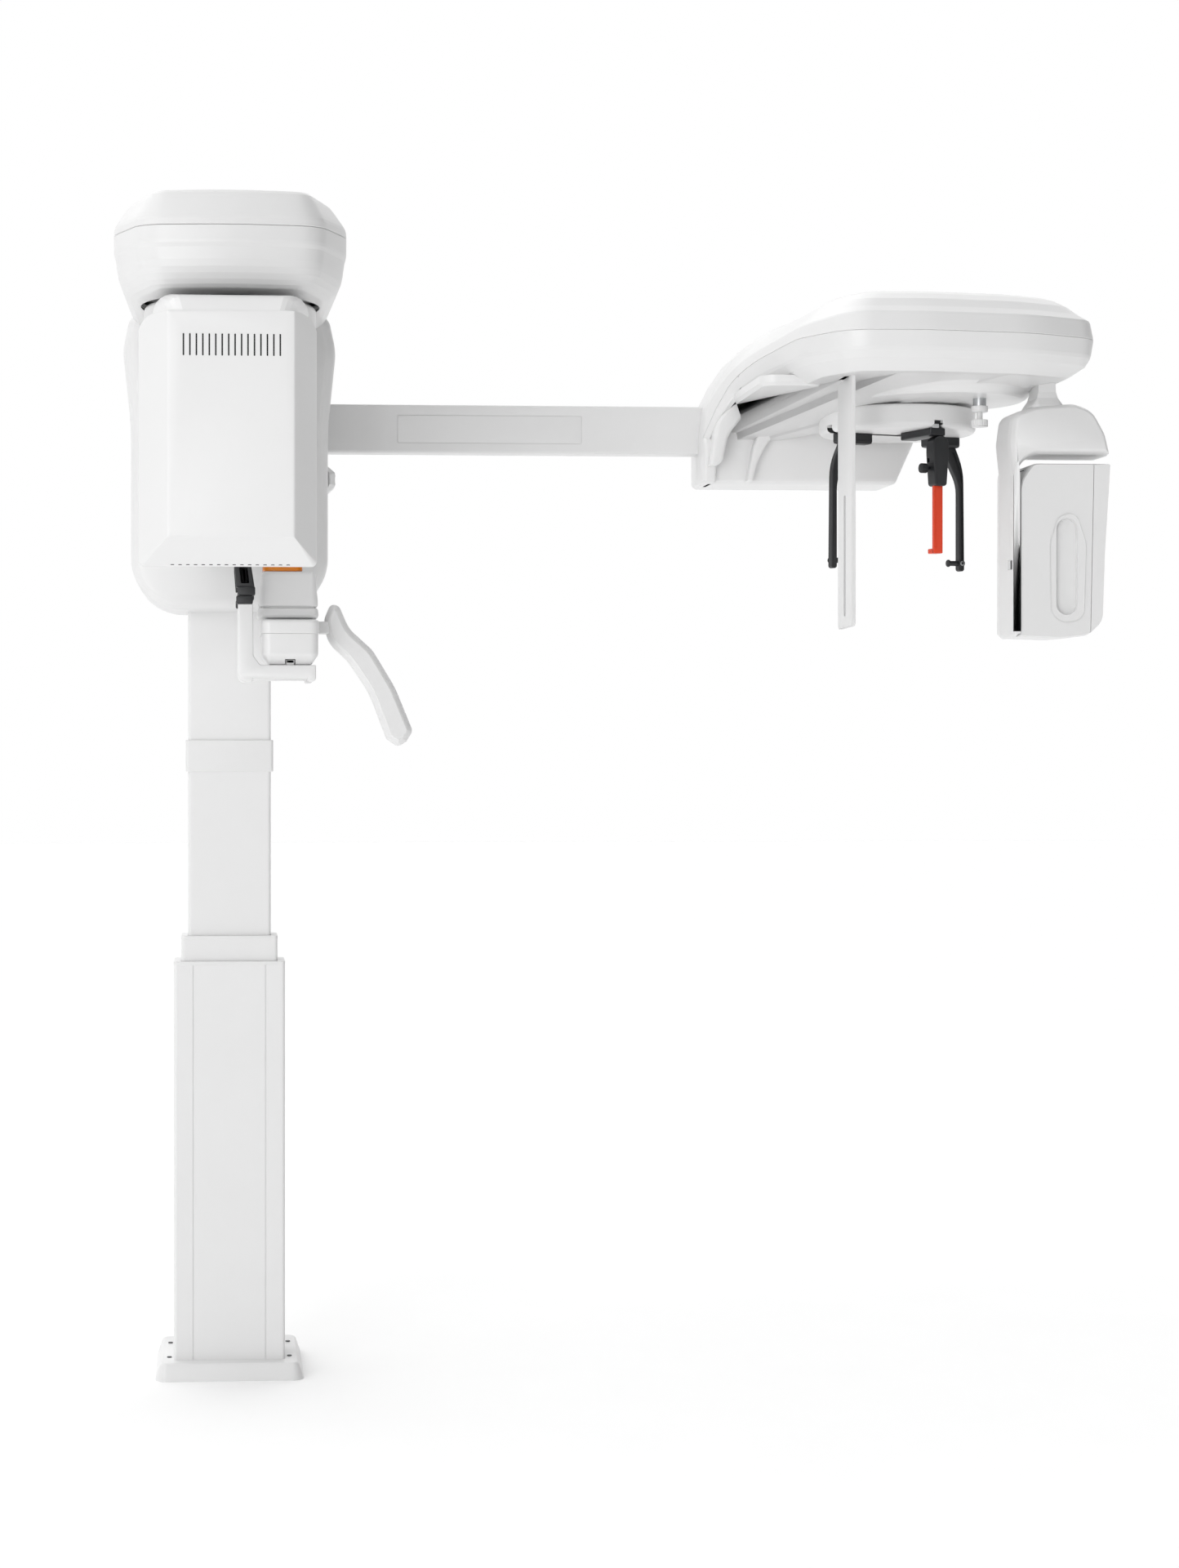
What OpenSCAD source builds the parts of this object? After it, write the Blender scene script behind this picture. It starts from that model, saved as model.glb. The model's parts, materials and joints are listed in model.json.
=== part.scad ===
// Panoramic dental x-ray machine with a cephalometric arm.
// X runs along the side arm, -Y is the operator's side, +Z is up.
// The origin is the middle of the floor bolts, on the floor.

/* [Base] */
// Width of the foot cover
base_w = 280; // [260:1:340]
// Depth of the foot cover
base_d = 275; // [262:1:340]
// Height of the foot cover
base_h = 33; // [24:1:50]
// Thickness of the steel floor plate
plate_t = 10; // [6:1:14]
// Spacing of the floor bolts across
bolt_dx = 220; // [200:1:230]
// Spacing of the floor bolts front to back
bolt_dy = 190; // [150:1:215]
// Diameter of the floor bolt holes
bolt_hole_d = 12; // [8:0.5:14]

/* [Column] */
// Width of the fixed lower stage
lower_w = 210; // [200:1:240]
// Depth of the fixed lower stage
lower_d = 110; // [104:1:130]
// Height of the top of the lower stage
lower_top = 786; // [700:1:850]
// Width of the middle stage
middle_w = 182; // [174:1:190]
// Depth of the middle stage
middle_d = 92; // [86:1:96]
// How far the middle stage stands out of the lower one
middle_out = 48; // [30:1:120]
// Width of the inner stage
inner_w = 157; // [140:1:164]
// Depth of the inner stage
inner_d = 74; // [60:1:78]
// Wall of each column stage
column_t = 3.5; // [2:0.5:4]
// Height of the trim band's lower edge
band_z = 1147; // [1100:1:1250]
// Height of the trim band
band_h = 60; // [30:1:90]
// Diameter of the lift screw
screw_d = 20; // [14:1:28]

/* [Carriage] */
// Width of the carriage housing
housing_w = 369; // [340:1:400]
// Height of the housing's lower edge
housing_z = 1450; // [1400:1:1500]
// Height of the housing's upper edge
housing_top = 1958; // [1920:1:2000]
// Radius of the housing's lower corners
housing_r = 100; // [40:1:120]
// Wall of all the plastic shells
shell_t = 3; // [2:0.5:4]

/* [Canopy] */
// Width of the canopy over the patient
canopy_w = 408; // [380:1:460]
// Height of the canopy
canopy_h = 180; // [150:1:220]
// Radius of the canopy's front corners
canopy_r = 110; // [60:1:150]

/* [Rotating arm] */
// Distance from the turning axis to the column's centre plane
axis_y = -450; // [-470:1:-440]
// Width of the x-ray head
head_w = 292; // [240:1:300]
// Height of the x-ray head's lower edge
head_z = 1489; // [1470:1:1530]
// Radius of the turning shaft
hub_r = 50; // [40:1:60]

/* [Side arm] */
// Height of the side arm's tube
arm_h = 93; // [60:1:110]
// Depth of the side arm's tube
arm_d = 50; // [40:1:60]
// Height of the side arm's lower face
arm_z = 1761; // [1740:1:1780]

/* [Cephalometric head] */
// Radius of the head holder's turning disc
disc_r = 145; // [120:1:147]
// Thickness of the turning disc
disc_t = 39; // [30:1:40]
// Turn of the head holder away from the side arm's line
disc_turn = 18; // [0:1:45]
// Distance of each ear rod from the disc's axis
ear_reach = 138; // [110:1:139]
// Width of the sensor housing
sensor_w = 163; // [130:1:170]
// Height of the sensor's lower box
sensor_z = 1388; // [1340:1:1420]

/* [Fits] */
// Running clearance of a turned shaft in its bearing
run_gap = 0.1; // [0.05:0.01:0.1]
// Sliding clearance between moving neighbours
slide_gap = 0.3; // [0.2:0.05:0.6]

/* [Hidden] */
$fn = 64;

white = "whitesmoke";
column_y = -45;                       // centre plane of the column
wall_y = base_d / 2;                  // face of the wall behind the machine
foot_taper = 10;                      // how far the foot cover's sides lean in
foot_t = 4;
boss_r = 6;
foot_screw_r = 2.5;
foot_screws = [[-lower_w / 2 - 9, -72], [lower_w / 2 + 9, -72],
               [-lower_w / 2 - 9, 60], [lower_w / 2 + 9, 60]];

column_r = 6;                         // rounding of the column stages' edges
groove_in = 36.5;
groove_w = 2;
groove_depth = 1.5;
glide_h = 50;
glide_w = 60;
middle_top = lower_top + middle_out;
middle_z0 = 120;
inner_z0 = 560;
inner_top = housing_top - 128;
band_lip = 4.5;
screw_top = 900;
drive_h = 80;
bracket_w = 160;
bracket_h = 100;
bracket_z = 640;
bracket_t = 6;
wall_bolt_dx = 120;
wall_bolt_dz = 60;
wall_bolt_d = 9;

frame_t = 8;
cheek_y = -140;                       // front edge of the frame's cheeks
deck_z = housing_top - 22;
housing_front = -190;
housing_split = -60;
housing_back = 75;
column_hole = 1;                      // air round the column in the housing's bottom
panel_x = housing_w / 2;              // control pod on the housing's side
panel_y = [-150, -70];
panel_z = 1668;
panel_h = 60;
panel_out = 14;
rocker_c = [panel_x + panel_out, -110, panel_z + panel_h / 2];
rocker_w = 41;
rocker_h = 20;

canopy_z = housing_top;
seam_z = canopy_z + 130;
canopy_top = canopy_z + canopy_h;
canopy_front = axis_y - 270;
canopy_in = 20;                       // step of the canopy's under edge
roof_in = 45;                         // step of the canopy's roof
beam_z = canopy_z + 42;               // underside of the canopy's structural plate
beam_t = 12;
beam_w = 260;
flange_h = 38;
dome_r = 152;
ring_r = 80;
ring_h = 25;
pulley_r = 85;
pinion_r = 20;
pulley_z = beam_z + beam_t + 4;
pulley_h = 14;
pinion_y = axis_y + 200;
belt_t = 2;
motor_w = 60;
motor_h = 36;

rotor_z = 1925;                       // underside of the turning beam
rotor_t = 12;
rotor_cover_z = 1895;
rotor_cover_top = 1950;
head_front = axis_y - 460;
head_split = axis_y - 350;
head_back = axis_y - 250;
head_top = rotor_cover_z;
head_r = 40;
tank_w = 200;
tank_z = 1600;
tank_top = 1880;
tank_t = 4;
tube_r = 30;
tube_z = 1690;
sensor_near = 140;                    // the pan sensor's face, from the turning axis
sensor_far = 210;
pan_sensor_w = 160;
pan_sensor_z = 1545;

boom_w = 40;
boom_x = inner_w / 2 + frame_t;
boom_z = 1365;
boom_h = 40;
chin_x = [53, 155];
chin_y = [-550, -350];
chin_z = [1337, 1416];
chin_mid = [(chin_x[0] + chin_x[1]) / 2, (chin_y[0] + chin_y[1]) / 2];
lid_h = 25;                           // height of the chin housing's lid band
lid_out = 2;                          // overhang of the lid band
chin_block_z = 1421;
chin_block_top = 1503;
chin_lip = 16;                        // height of the chin block's wide lower edge
cup_h = 12;
tongue_x = [91, 117];                 // head of the temple arms' tongue
tongue_z = 1350;                      // top of the tongue
neck_in = 6;                          // step from the tongue's head to its neck
neck_h = 5;
temple_gap = 85;                      // from the head's middle plane to each temple arm
temple_d = 24;                        // depth of the temple arms
upright_x = [13, 40];
temple_bar_z = [1313, 1337];
temple_bar_x = 149;
post_z = 1443;                        // where the white upright ends and the black post begins
post_top = 1660;
pad_z = 1630;
pad_r = 14;
pad_t = 8;
handle_y = [-472, -432];
// Centre line of the handle, a single sweeping curve in the XZ plane
handle_curve = [[182, 1432], [196, 1362], [262, 1362], [305, 1216]];
handle_half = [15, 25];               // half of the handle's width at its two ends

arm_x0 = 175;
arm_x1 = 1000;
arm_t = 4;
arm_top = arm_z + arm_h;

rim_z = 1850;
ceph_seam_z = 1917;
ceph_roof_z = 1960;
ceph_top = 2000;
pod_z = 1826;
pod_r = 162;
pod_c = [1300, -336];
disc_c = [1250, -230];
disc_z = 1778;
disc_hub_r = 40;
ceph_plate_z = 1872;
ceph_plate_t = 10;
web_x = [933, 1300];
web_y = [-80, 60];
web_z = 1700;
blade_x = 1094;                       // the ray limiting plate's face
blade_t = 7;
blade_y = [-545, -432];
blade_z = [1405, 1846];
sensor_x = 1400;
ceph_sensor_y = [-494, -382];
sensor_top = 1811;
sensor_r = 20;
sensor_gap_z = [1703, 1716];          // the open slit between hood and cassette
ear_t = 12;
ear_z = 1525;
plug_z = 1541;
nasion_reach = 145;
nasion_z = [1672, 1776];
bar_end_z = 1549;
knob_c = [1362, -400];

// ---------------------------------------------------------------- helpers

// Block between two corners
module block(lo, hi) translate(lo) cube(hi - lo);

// Rectangle with round corners, centred
module round_rect(w, d, r) {
  square([w - 2 * r, d], center = true);
  square([w, d - 2 * r], center = true);
  for (x = [-1, 1], y = [-1, 1])
    translate([x * (w / 2 - r), y * (d / 2 - r)]) circle(r);
}

// Upright prism with round corners
module prism(w, d, r, z0, z1, y = 0, x = 0)
  translate([x, y, z0]) linear_extrude(z1 - z0) round_rect(w, d, r);

// Outline standing in the XZ plane, pushed back from y0 to y1
module pushed(y0, y1) translate([0, y1, 0]) rotate([90, 0, 0]) linear_extrude(y1 - y0) children();

// One column stage, open at both ends
module stage(w, d, t, z0, z1) difference() {
  prism(w, d, column_r, z0, z1, column_y);
  prism(w - 2 * t, d - 2 * t, column_r - t, z0 - 1, z1 + 1, column_y);
}

// Four glide pads that fill the space between two stages
module glides(outer_w, outer_d, inner_w, inner_d, z0) {
  side = (outer_w - inner_w) / 2 - slide_gap;
  face = (outer_d - inner_d) / 2 - slide_gap;
  for (s = [-1, 1]) {
    x0 = s > 0 ? outer_w / 2 - side : -outer_w / 2;
    y0 = column_y + (s > 0 ? outer_d / 2 - face : -outer_d / 2);
    translate([x0, column_y - glide_w / 4, z0]) cube([side, glide_w / 2, glide_h]);
    translate([-glide_w / 2, y0, z0]) cube([glide_w, face, glide_h]);
  }
}

// ---------------------------------------------------------------- foot

module foot_outline(shrink) round_rect(base_w - 2 * shrink, base_d - 2 * shrink, 24 - shrink / 2);

module foot_solid(inset, z0, z1) hull() {
  translate([0, 0, z0]) linear_extrude(0.01) foot_outline(inset);
  translate([0, 0, z1 - 0.01]) linear_extrude(0.01) foot_outline(foot_taper + inset);
}

module base_plate() color("gray") difference() {
  prism(base_w - 16, base_d - 16, 20, 0, plate_t);
  for (x = [-1, 1], y = [-1, 1])
    translate([x * bolt_dx / 2, y * bolt_dy / 2, -1]) cylinder(plate_t + 2, r = bolt_hole_d / 2);
}

module base_cover() color(white) difference() {
  union() {
    difference() {
      foot_solid(0, 0, base_h);
      foot_solid(foot_t, -1, base_h - foot_t);
    }
    for (p = foot_screws)
      translate([p.x, p.y, plate_t]) cylinder(base_h - plate_t - foot_t / 2, r = boss_r);
  }
  prism(lower_w + 2 * slide_gap, lower_d + 2 * slide_gap, column_r, -1, base_h + 1, column_y);
  for (p = foot_screws)
    translate([p.x, p.y, plate_t + 5]) cylinder(base_h, r = foot_screw_r);
}

module base_screws() color("dimgray")
  for (p = foot_screws) translate([p.x, p.y, plate_t + 5]) {
    cylinder(base_h - plate_t - 5, r = foot_screw_r);
    translate([0, 0, base_h - plate_t - 5]) cylinder(1.5, r = foot_screw_r + 2);
  }

// ---------------------------------------------------------------- column

module lower_column() color(white) difference() {
  stage(lower_w, lower_d, column_t, plate_t, lower_top);
  for (s = [-1, 1])
    translate([s * (lower_w / 2 - groove_in) - groove_w / 2, column_y - lower_d / 2 - 1, plate_t - 1])
      cube([groove_w, groove_depth + 1, lower_top]);
}

module wall_bracket() color("silver") {
  back = column_y + lower_d / 2;
  difference() {
    block([-bracket_w / 2, wall_y - bracket_t, bracket_z],
          [bracket_w / 2, wall_y, bracket_z + bracket_h]);
    for (x = [-1, 1], z = [-1, 1])
      translate([x * wall_bolt_dx / 2, wall_y - bracket_t - 1, bracket_z + bracket_h / 2 + z * wall_bolt_dz / 2])
        rotate([-90, 0, 0]) cylinder(bracket_t + 2, r = wall_bolt_d / 2);
  }
  for (s = [-1, 1])
    translate([s * 40 - bracket_t / 2, back, bracket_z])
      cube([bracket_t, wall_y - bracket_t - back, bracket_h]);
  block([-40, back, bracket_z], [40, back + bracket_t, bracket_z + bracket_h]);
}

module lift_screw() color("silver") translate([0, column_y, 0]) {
  translate([0, 0, plate_t]) cylinder(30, r = screw_d * 1.5);
  translate([0, 0, plate_t + 30]) cylinder(screw_top - plate_t - 30, r = screw_d / 2);
}

module lower_glides() color("darkgray")
  glides(lower_w - 2 * column_t, lower_d - 2 * column_t, middle_w, middle_d, lower_top - glide_h - 4);

module middle_column() color(white) stage(middle_w, middle_d, column_t, middle_z0, middle_top);

module middle_glides() color("darkgray")
  glides(middle_w - 2 * column_t, middle_d - 2 * column_t, inner_w, inner_d, middle_top - glide_h - 4);

module inner_column() color(white) stage(inner_w, inner_d, column_t, inner_z0, inner_top);

module column_band() color(white) difference() {
  prism(inner_w + 2 * band_lip, inner_d + 2 * band_lip, column_r, band_z, band_z + band_h, column_y);
  prism(inner_w, inner_d, column_r, band_z - 1, band_z + band_h + 1, column_y);
}

module lift_drive() color("slategray") difference() {
  prism(inner_w - 2 * column_t, inner_d - 2 * column_t, column_r - column_t,
        inner_z0, inner_z0 + drive_h, column_y);
  translate([0, column_y, inner_z0 - 1]) cylinder(drive_h + 2, r = screw_d / 2 + run_gap);
}

// ---------------------------------------------------------------- carriage

module carriage_frame() color("silver") {
  back = column_y + inner_d / 2;
  difference() {
    union() {
      block([-150, back, housing_z + 40], [150, back + 10, deck_z]);
      for (s = [-1, 1])
        block([s > 0 ? inner_w / 2 : -inner_w / 2 - frame_t, cheek_y, housing_z + 50],
              [s > 0 ? inner_w / 2 + frame_t : -inner_w / 2, back, deck_z]);
      block([-housing_w / 2 + shell_t, -180, deck_z], [housing_w / 2 - shell_t, 60, deck_z + frame_t]);
      block([150 - 30, back, arm_z - 10], [arm_x0, arm_d / 2, arm_top + 10]);
    }
    translate([0, column_y, deck_z - 1]) cylinder(frame_t + 2, r = 25);
  }
}

// Front outline of the housing, shrunk by a wall
module housing_outline(shrink) {
  w = housing_w - 2 * shrink;
  z0 = housing_z + shrink;
  z1 = housing_top - shrink;
  r = housing_r - shrink;
  translate([-w / 2 + r, z0]) square([w - 2 * r, z1 - z0]);
  translate([-w / 2, z0 + r]) square([w, z1 - z0 - r]);
  for (s = [-1, 1]) translate([s * (w / 2 - r), z0 + r]) circle(r);
}

module housing_openings() {
  prism(inner_w + 2 * column_hole, inner_d + 2 * column_hole, column_r, housing_z - 1, housing_z + 30, column_y);
  block([-101, -171, housing_top - 10], [101, 41, housing_top + 1]);
  block([housing_w / 2 - 10, -arm_d / 2 - 0.5, arm_z - 0.5], [housing_w / 2 + 1, arm_d / 2 + 0.5, arm_top + 0.5]);
  block([boom_x - 0.5, cheek_y - 0.5, housing_z - 1], [boom_x + boom_w + 0.5, -99, housing_z + 30]);
}

module carriage_front_cover() color(white) difference() {
  pushed(housing_front, housing_split) housing_outline(0);
  pushed(housing_front + shell_t, housing_split + 1) housing_outline(shell_t);
  housing_openings();
}

module carriage_rear_cover() color(white) difference() {
  pushed(housing_split, housing_back) housing_outline(0);
  pushed(housing_split - 1, housing_back - shell_t) housing_outline(shell_t);
  housing_openings();
}

module control_pod() color(white) difference() {
  translate([panel_x, panel_y[1], panel_z]) rotate([90, 0, 0]) linear_extrude(panel_y[1] - panel_y[0])
    polygon([[0, 0], [panel_out, 16], [panel_out, panel_h - 14], [0, panel_h]]);
  translate([rocker_c.x - 8, rocker_c.y - rocker_w / 2 - slide_gap, rocker_c.z - rocker_h / 2 - 1])
    cube([20, rocker_w + 2 * slide_gap, rocker_h + 2]);
}

module height_rocker() color("gainsboro") translate([rocker_c.x, rocker_c.y - rocker_w / 2, rocker_c.z]) {
  translate([-4, 0, -rocker_h / 2]) cube([5, rocker_w, rocker_h]);
  translate([-4, 0, 0]) rotate([-90, 0, 0]) cylinder(rocker_w, r = 3);
}

module power_supply() color("silver") {
  back = column_y + inner_d / 2 + 10;
  block([-130, back, housing_z + 90], [-30, back + 50, housing_z + 270]);
}

// ---------------------------------------------------------------- canopy

// Plan of the canopy: a wide round nose and a straight back over the housing
module canopy_outline(shrink) {
  nose_end = housing_front + 100;
  w = housing_w - 2 * shrink;
  translate([0, (canopy_front + nose_end) / 2])
    round_rect(canopy_w - 2 * shrink, nose_end - canopy_front - 2 * shrink, canopy_r - shrink);
  translate([-w / 2, axis_y]) square([w, housing_back - shrink - axis_y]);
}

module canopy_layer(shrink, z0, z1) translate([0, 0, z0]) linear_extrude(z1 - z0) canopy_outline(shrink);

module canopy_lower_cover() color(white) difference() {
  union() {
    canopy_layer(canopy_in, canopy_z, canopy_z + 30);
    canopy_layer(0, canopy_z + 30, seam_z);
  }
  canopy_layer(canopy_in + shell_t, canopy_z + shell_t, canopy_z + 31 + shell_t);
  canopy_layer(shell_t, canopy_z + 30 + shell_t, seam_z + 1);
  translate([0, axis_y, canopy_z - 1]) cylinder(20, r = dome_r + 6);
  block([-101, -171, canopy_z - 1], [101, 41, canopy_z + 20]);
}

module canopy_top_cover() color(white) difference() {
  union() {
    canopy_layer(0, seam_z, canopy_top - 18);
    canopy_layer(roof_in, canopy_top - 18, canopy_top);
  }
  canopy_layer(shell_t, seam_z - 1, canopy_top - 18 - shell_t);
  canopy_layer(roof_in + shell_t, seam_z, canopy_top - shell_t);
}

module canopy_beam() color("silver") difference() {
  union() {
    block([-beam_w / 2, axis_y - 110, beam_z], [beam_w / 2, 40, beam_z + beam_t]);
    for (s = [-1, 1])
      block([s > 0 ? beam_w / 2 - 8 : -beam_w / 2, axis_y - 110, beam_z + beam_t],
            [s > 0 ? beam_w / 2 : -beam_w / 2 + 8, 40, beam_z + flange_h]);
    for (s = [-1, 1])
      block([s > 0 ? 80 : -100, -170, deck_z + frame_t], [s > 0 ? 100 : -80, 40, beam_z]);
    block([-81, 20, deck_z + frame_t], [81, 40, beam_z]);
  }
  translate([0, axis_y, beam_z - 1]) cylinder(beam_t + 2, r = hub_r + 2);
  translate([0, pinion_y, beam_z - 1]) cylinder(beam_t + 2, r = 9);
}

module bearing_ring() color("silver") translate([0, axis_y, beam_z - ring_h]) difference() {
  cylinder(ring_h, r = ring_r);
  translate([0, 0, -1]) cylinder(ring_h + 2, r = hub_r + run_gap);
}

module rotation_motor() color("dimgray") difference() {
  translate([0, pinion_y, beam_z - motor_h / 2]) cube([motor_w, motor_w, motor_h], center = true);
  translate([0, pinion_y, beam_z - motor_h + 10]) cylinder(motor_h, r = 5 + run_gap);
}

module drive_pulley() color("silver") translate([0, pinion_y, 0]) {
  translate([0, 0, beam_z - motor_h + 10]) cylinder(pulley_z - beam_z + motor_h - 10, r = 5);
  translate([0, 0, pulley_z]) cylinder(pulley_h, r = pinion_r);
}

module belt_path(extra) hull() {
  translate([0, axis_y]) circle(pulley_r + extra);
  translate([0, pinion_y]) circle(pinion_r + extra);
}

module drive_belt() color("black") translate([0, 0, pulley_z + 1]) linear_extrude(pulley_h - 2) difference() {
  belt_path(slide_gap + belt_t);
  belt_path(slide_gap);
}

// ---------------------------------------------------------------- rotating arm

module rotor_hub() color("silver") translate([0, axis_y, 0]) difference() {
  union() {
    translate([0, 0, rotor_z + rotor_t]) cylinder(beam_z - ring_h - slide_gap - rotor_z - rotor_t, r = 70);
    translate([0, 0, rotor_z + rotor_t]) cylinder(pulley_z - rotor_z - rotor_t, r = hub_r);
    translate([0, 0, pulley_z]) cylinder(pulley_h, r = pulley_r);
  }
  translate([0, 0, rotor_z]) cylinder(pulley_z, r = 30);
}

module rotor_beam() color("silver") difference() {
  union() {
    block([-60, head_front + 80, rotor_z], [60, axis_y + sensor_far - 10, rotor_z + rotor_t]);
    block([-40, axis_y + sensor_near + 22, tank_z], [40, axis_y + sensor_near + 30, rotor_z]);
    for (s = [-1, 1])
      block([s > 0 ? 52 : -60, head_front + 80, tank_top], [s > 0 ? 60 : -52, head_back - 10, rotor_z]);
  }
  translate([0, axis_y, rotor_z - 1]) cylinder(rotor_t + 2, r = 30);
}

module rotor_cover() color(white) difference() {
  union() {
    prism(270, sensor_far + 10 - (head_back - axis_y), 60, rotor_cover_z, rotor_cover_top,
          axis_y + (sensor_far + 10 + head_back - axis_y) / 2);
    translate([0, axis_y, rotor_cover_top]) cylinder(22, r = dome_r);
  }
  prism(264, sensor_far + 4 - (head_back - axis_y), 57, rotor_cover_z - 1, rotor_cover_top - shell_t,
        axis_y + (sensor_far + 10 + head_back - axis_y) / 2);
  block([-61, head_back - 1, rotor_cover_z - 1], [61, head_back + 8, rotor_z + rotor_t + 1]);
  translate([0, axis_y, rotor_cover_z]) cylinder(60 + 22, r = 71);
  translate([0, axis_y, rotor_cover_top - shell_t - 1]) cylinder(22, r = dome_r - shell_t);
}

// Plan of the x-ray head: chamfered at its front corners
module head_plan(shrink) {
  w = head_w / 2 - shrink;
  polygon([[-102 + shrink / 2, head_front + shrink], [102 - shrink / 2, head_front + shrink],
           [w, head_front + 70], [w, head_back - shrink], [-w, head_back - shrink], [-w, head_front + 70]]);
}

module head_solid(shrink, z0, z1) translate([0, 0, z0]) linear_extrude(z1 - z0) head_plan(shrink);

module tubehead_shell() difference() {
  head_solid(0, head_z, head_top);
  head_solid(shell_t, head_z + shell_t, head_top + 1);
}

module tubehead_cover() color(white) difference() {
  intersection() {
    tubehead_shell();
    block([-head_w, head_front - 1, head_z - 1], [head_w, head_split, head_top + 1]);
  }
  for (i = [0:15])
    translate([(i - 7.5) * 10.4 - 1.2, head_front - 1, 1834]) cube([2.4, shell_t + 2, 36]);
}

module tubehead_back_cover() color(white) difference() {
  intersection() {
    tubehead_shell();
    block([-head_w, head_split, head_z - 1], [head_w, head_back + 1, head_top + 1]);
  }
  translate([0, head_back + 1, tube_z]) rotate([90, 0, 0]) cylinder(10, r = 45);
}

module generator_tank() color("silver") difference() {
  block([-tank_w / 2, head_front + 60, tank_z], [tank_w / 2, head_back - 30, tank_top]);
  block([-tank_w / 2 + tank_t, head_front + 60 + tank_t, tank_z + tank_t],
        [tank_w / 2 - tank_t, head_back - 30 - tank_t, tank_top - tank_t]);
  translate([0, head_back - 29, tube_z]) rotate([90, 0, 0]) cylinder(tank_t + 2, r = 20);
}

module xray_tube() color("lightsteelblue") translate([0, head_back - 85, tube_z]) {
  rotate([0, 90, 0]) translate([0, 0, -70]) cylinder(140, r = tube_r);
  for (s = [-1, 1]) translate([s * 83, 0, 0]) rotate([0, 90, 0]) cylinder(26, r = 12, center = true);
}

module primary_collimator() color("dimgray") difference() {
  block([-45, head_back - 30, tube_z - 40], [45, head_back - 6, tube_z + 40]);
  block([-4, head_back - 31, tube_z - 25], [4, head_back - 5, tube_z + 25]);
}

module sensor_cover() color(white) difference() {
  block([-pan_sensor_w / 2, axis_y + sensor_near, pan_sensor_z],
        [pan_sensor_w / 2, axis_y + sensor_far, rotor_cover_z]);
  block([-pan_sensor_w / 2 + shell_t, axis_y + sensor_near + shell_t, pan_sensor_z + shell_t],
        [pan_sensor_w / 2 - shell_t, axis_y + sensor_far - shell_t, rotor_cover_z + 1]);
}

module sensor_panel() color("dimgray")
  block([-70, axis_y + sensor_near + shell_t, pan_sensor_z + 20],
        [70, axis_y + sensor_near + 22, pan_sensor_z + 200]);

// ---------------------------------------------------------------- patient support

module patient_arm() color(white) {
  block([boom_x, cheek_y, boom_z + boom_h], [boom_x + boom_w, -100, 1600]);
  block([boom_x, chin_y[0] + 20, boom_z], [boom_x + boom_w, -100, boom_z + boom_h]);
}

// Tongue of a temple arm, or its groove when it is wider by a gap
module tongue(y0, y1, gap) {
  block([tongue_x[0] + neck_in - gap, y0, chin_z[0] - 1], [tongue_x[1] - neck_in + gap, y1, tongue_z]);
  block([tongue_x[0] - gap, y0, chin_z[0] + neck_h - gap], [tongue_x[1] + gap, y1, tongue_z + gap]);
}

module chin_housing() color(white) difference() {
  union() {
    prism(chin_x[1] - chin_x[0] - 2 * lid_out, chin_y[1] - chin_y[0] - 2 * lid_out, 14,
          chin_z[0], chin_z[1] - lid_h, chin_mid.y, chin_mid.x);
    prism(chin_x[1] - chin_x[0], chin_y[1] - chin_y[0], 16, chin_z[1] - lid_h, chin_z[1],
          chin_mid.y, chin_mid.x);
  }
  block([boom_x, chin_y[0] + 20, boom_z], [boom_x + boom_w, 0, boom_z + boom_h]);
  tongue(chin_y[0] - 1, chin_y[1] + 1, slide_gap);
}

module chin_block() color(white) {
  prism(70, 70, 10, chin_z[1], chin_block_z, chin_mid.y, chin_mid.x);
  prism(108, 110, 12, chin_block_z, chin_block_z + chin_lip, chin_mid.y, chin_mid.x - 3);
  hull() {
    prism(104, 106, 12, chin_block_z + chin_lip, chin_block_z + chin_lip + 1, chin_mid.y, chin_mid.x - 3);
    prism(90, 96, 12, chin_block_top - 1, chin_block_top, chin_mid.y, chin_mid.x - 3);
  }
}

module chin_cup() color("orange")
  prism(71, 60, 10, chin_block_top, chin_block_top + cup_h, chin_mid.y - 10, 92);

// White L-shaped arm that slides under the chin housing
module temple_arm(side) color(white) {
  y = axis_y + side * temple_gap;
  mid_x = (upright_x[0] + upright_x[1]) / 2;
  r = (upright_x[1] - upright_x[0]) / 2;
  pushed(y - temple_d / 2, y + temple_d / 2) {
    translate([mid_x, temple_bar_z[0] + r - 4]) circle(r);
    translate([upright_x[0], temple_bar_z[0] + r - 4]) square([2 * r, post_z - temple_bar_z[0] - r + 4]);
    translate([mid_x, temple_bar_z[0]]) square([temple_bar_x - mid_x, chin_z[0] - slide_gap - temple_bar_z[0]]);
    translate([temple_bar_x - 15, temple_bar_z[0] - 5]) square([15, 10]);
  }
  inner = y - side * 55;
  tongue(min(y, inner), max(y, inner), 0);
}

module temple_arm_front() temple_arm(-1);

module temple_arm_back() temple_arm(1);

// Black post on a temple arm, with the pad that meets the temple
module temple_post(side) color("#202020") {
  y = axis_y + side * temple_gap;
  half = temple_d / 2;
  block([upright_x[0] - 3, y - half, post_z], [upright_x[1] - 1, y + half, post_z + 15]);
  block([upright_x[0], y - half, post_z + 15], [upright_x[1] + 3, y + half, post_z + 31]);
  pushed(y - half + 3, y + half - 3) polygon([
    [upright_x[0] - 3, post_z + 31], [upright_x[1] + 2, post_z + 31], [upright_x[1] - 4, post_z + 67],
    [upright_x[1] - 10, post_top], [upright_x[0] - 5, post_top], [upright_x[0] - 6, post_z + 67]]);
  translate([(upright_x[0] + upright_x[1]) / 2 - 7, y - side * (half - 3), pad_z])
    rotate([side * 90, 0, 0]) cylinder(pad_t, r = pad_r);
}

module temple_post_front() temple_post(-1);

module temple_post_back() temple_post(1);

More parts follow.
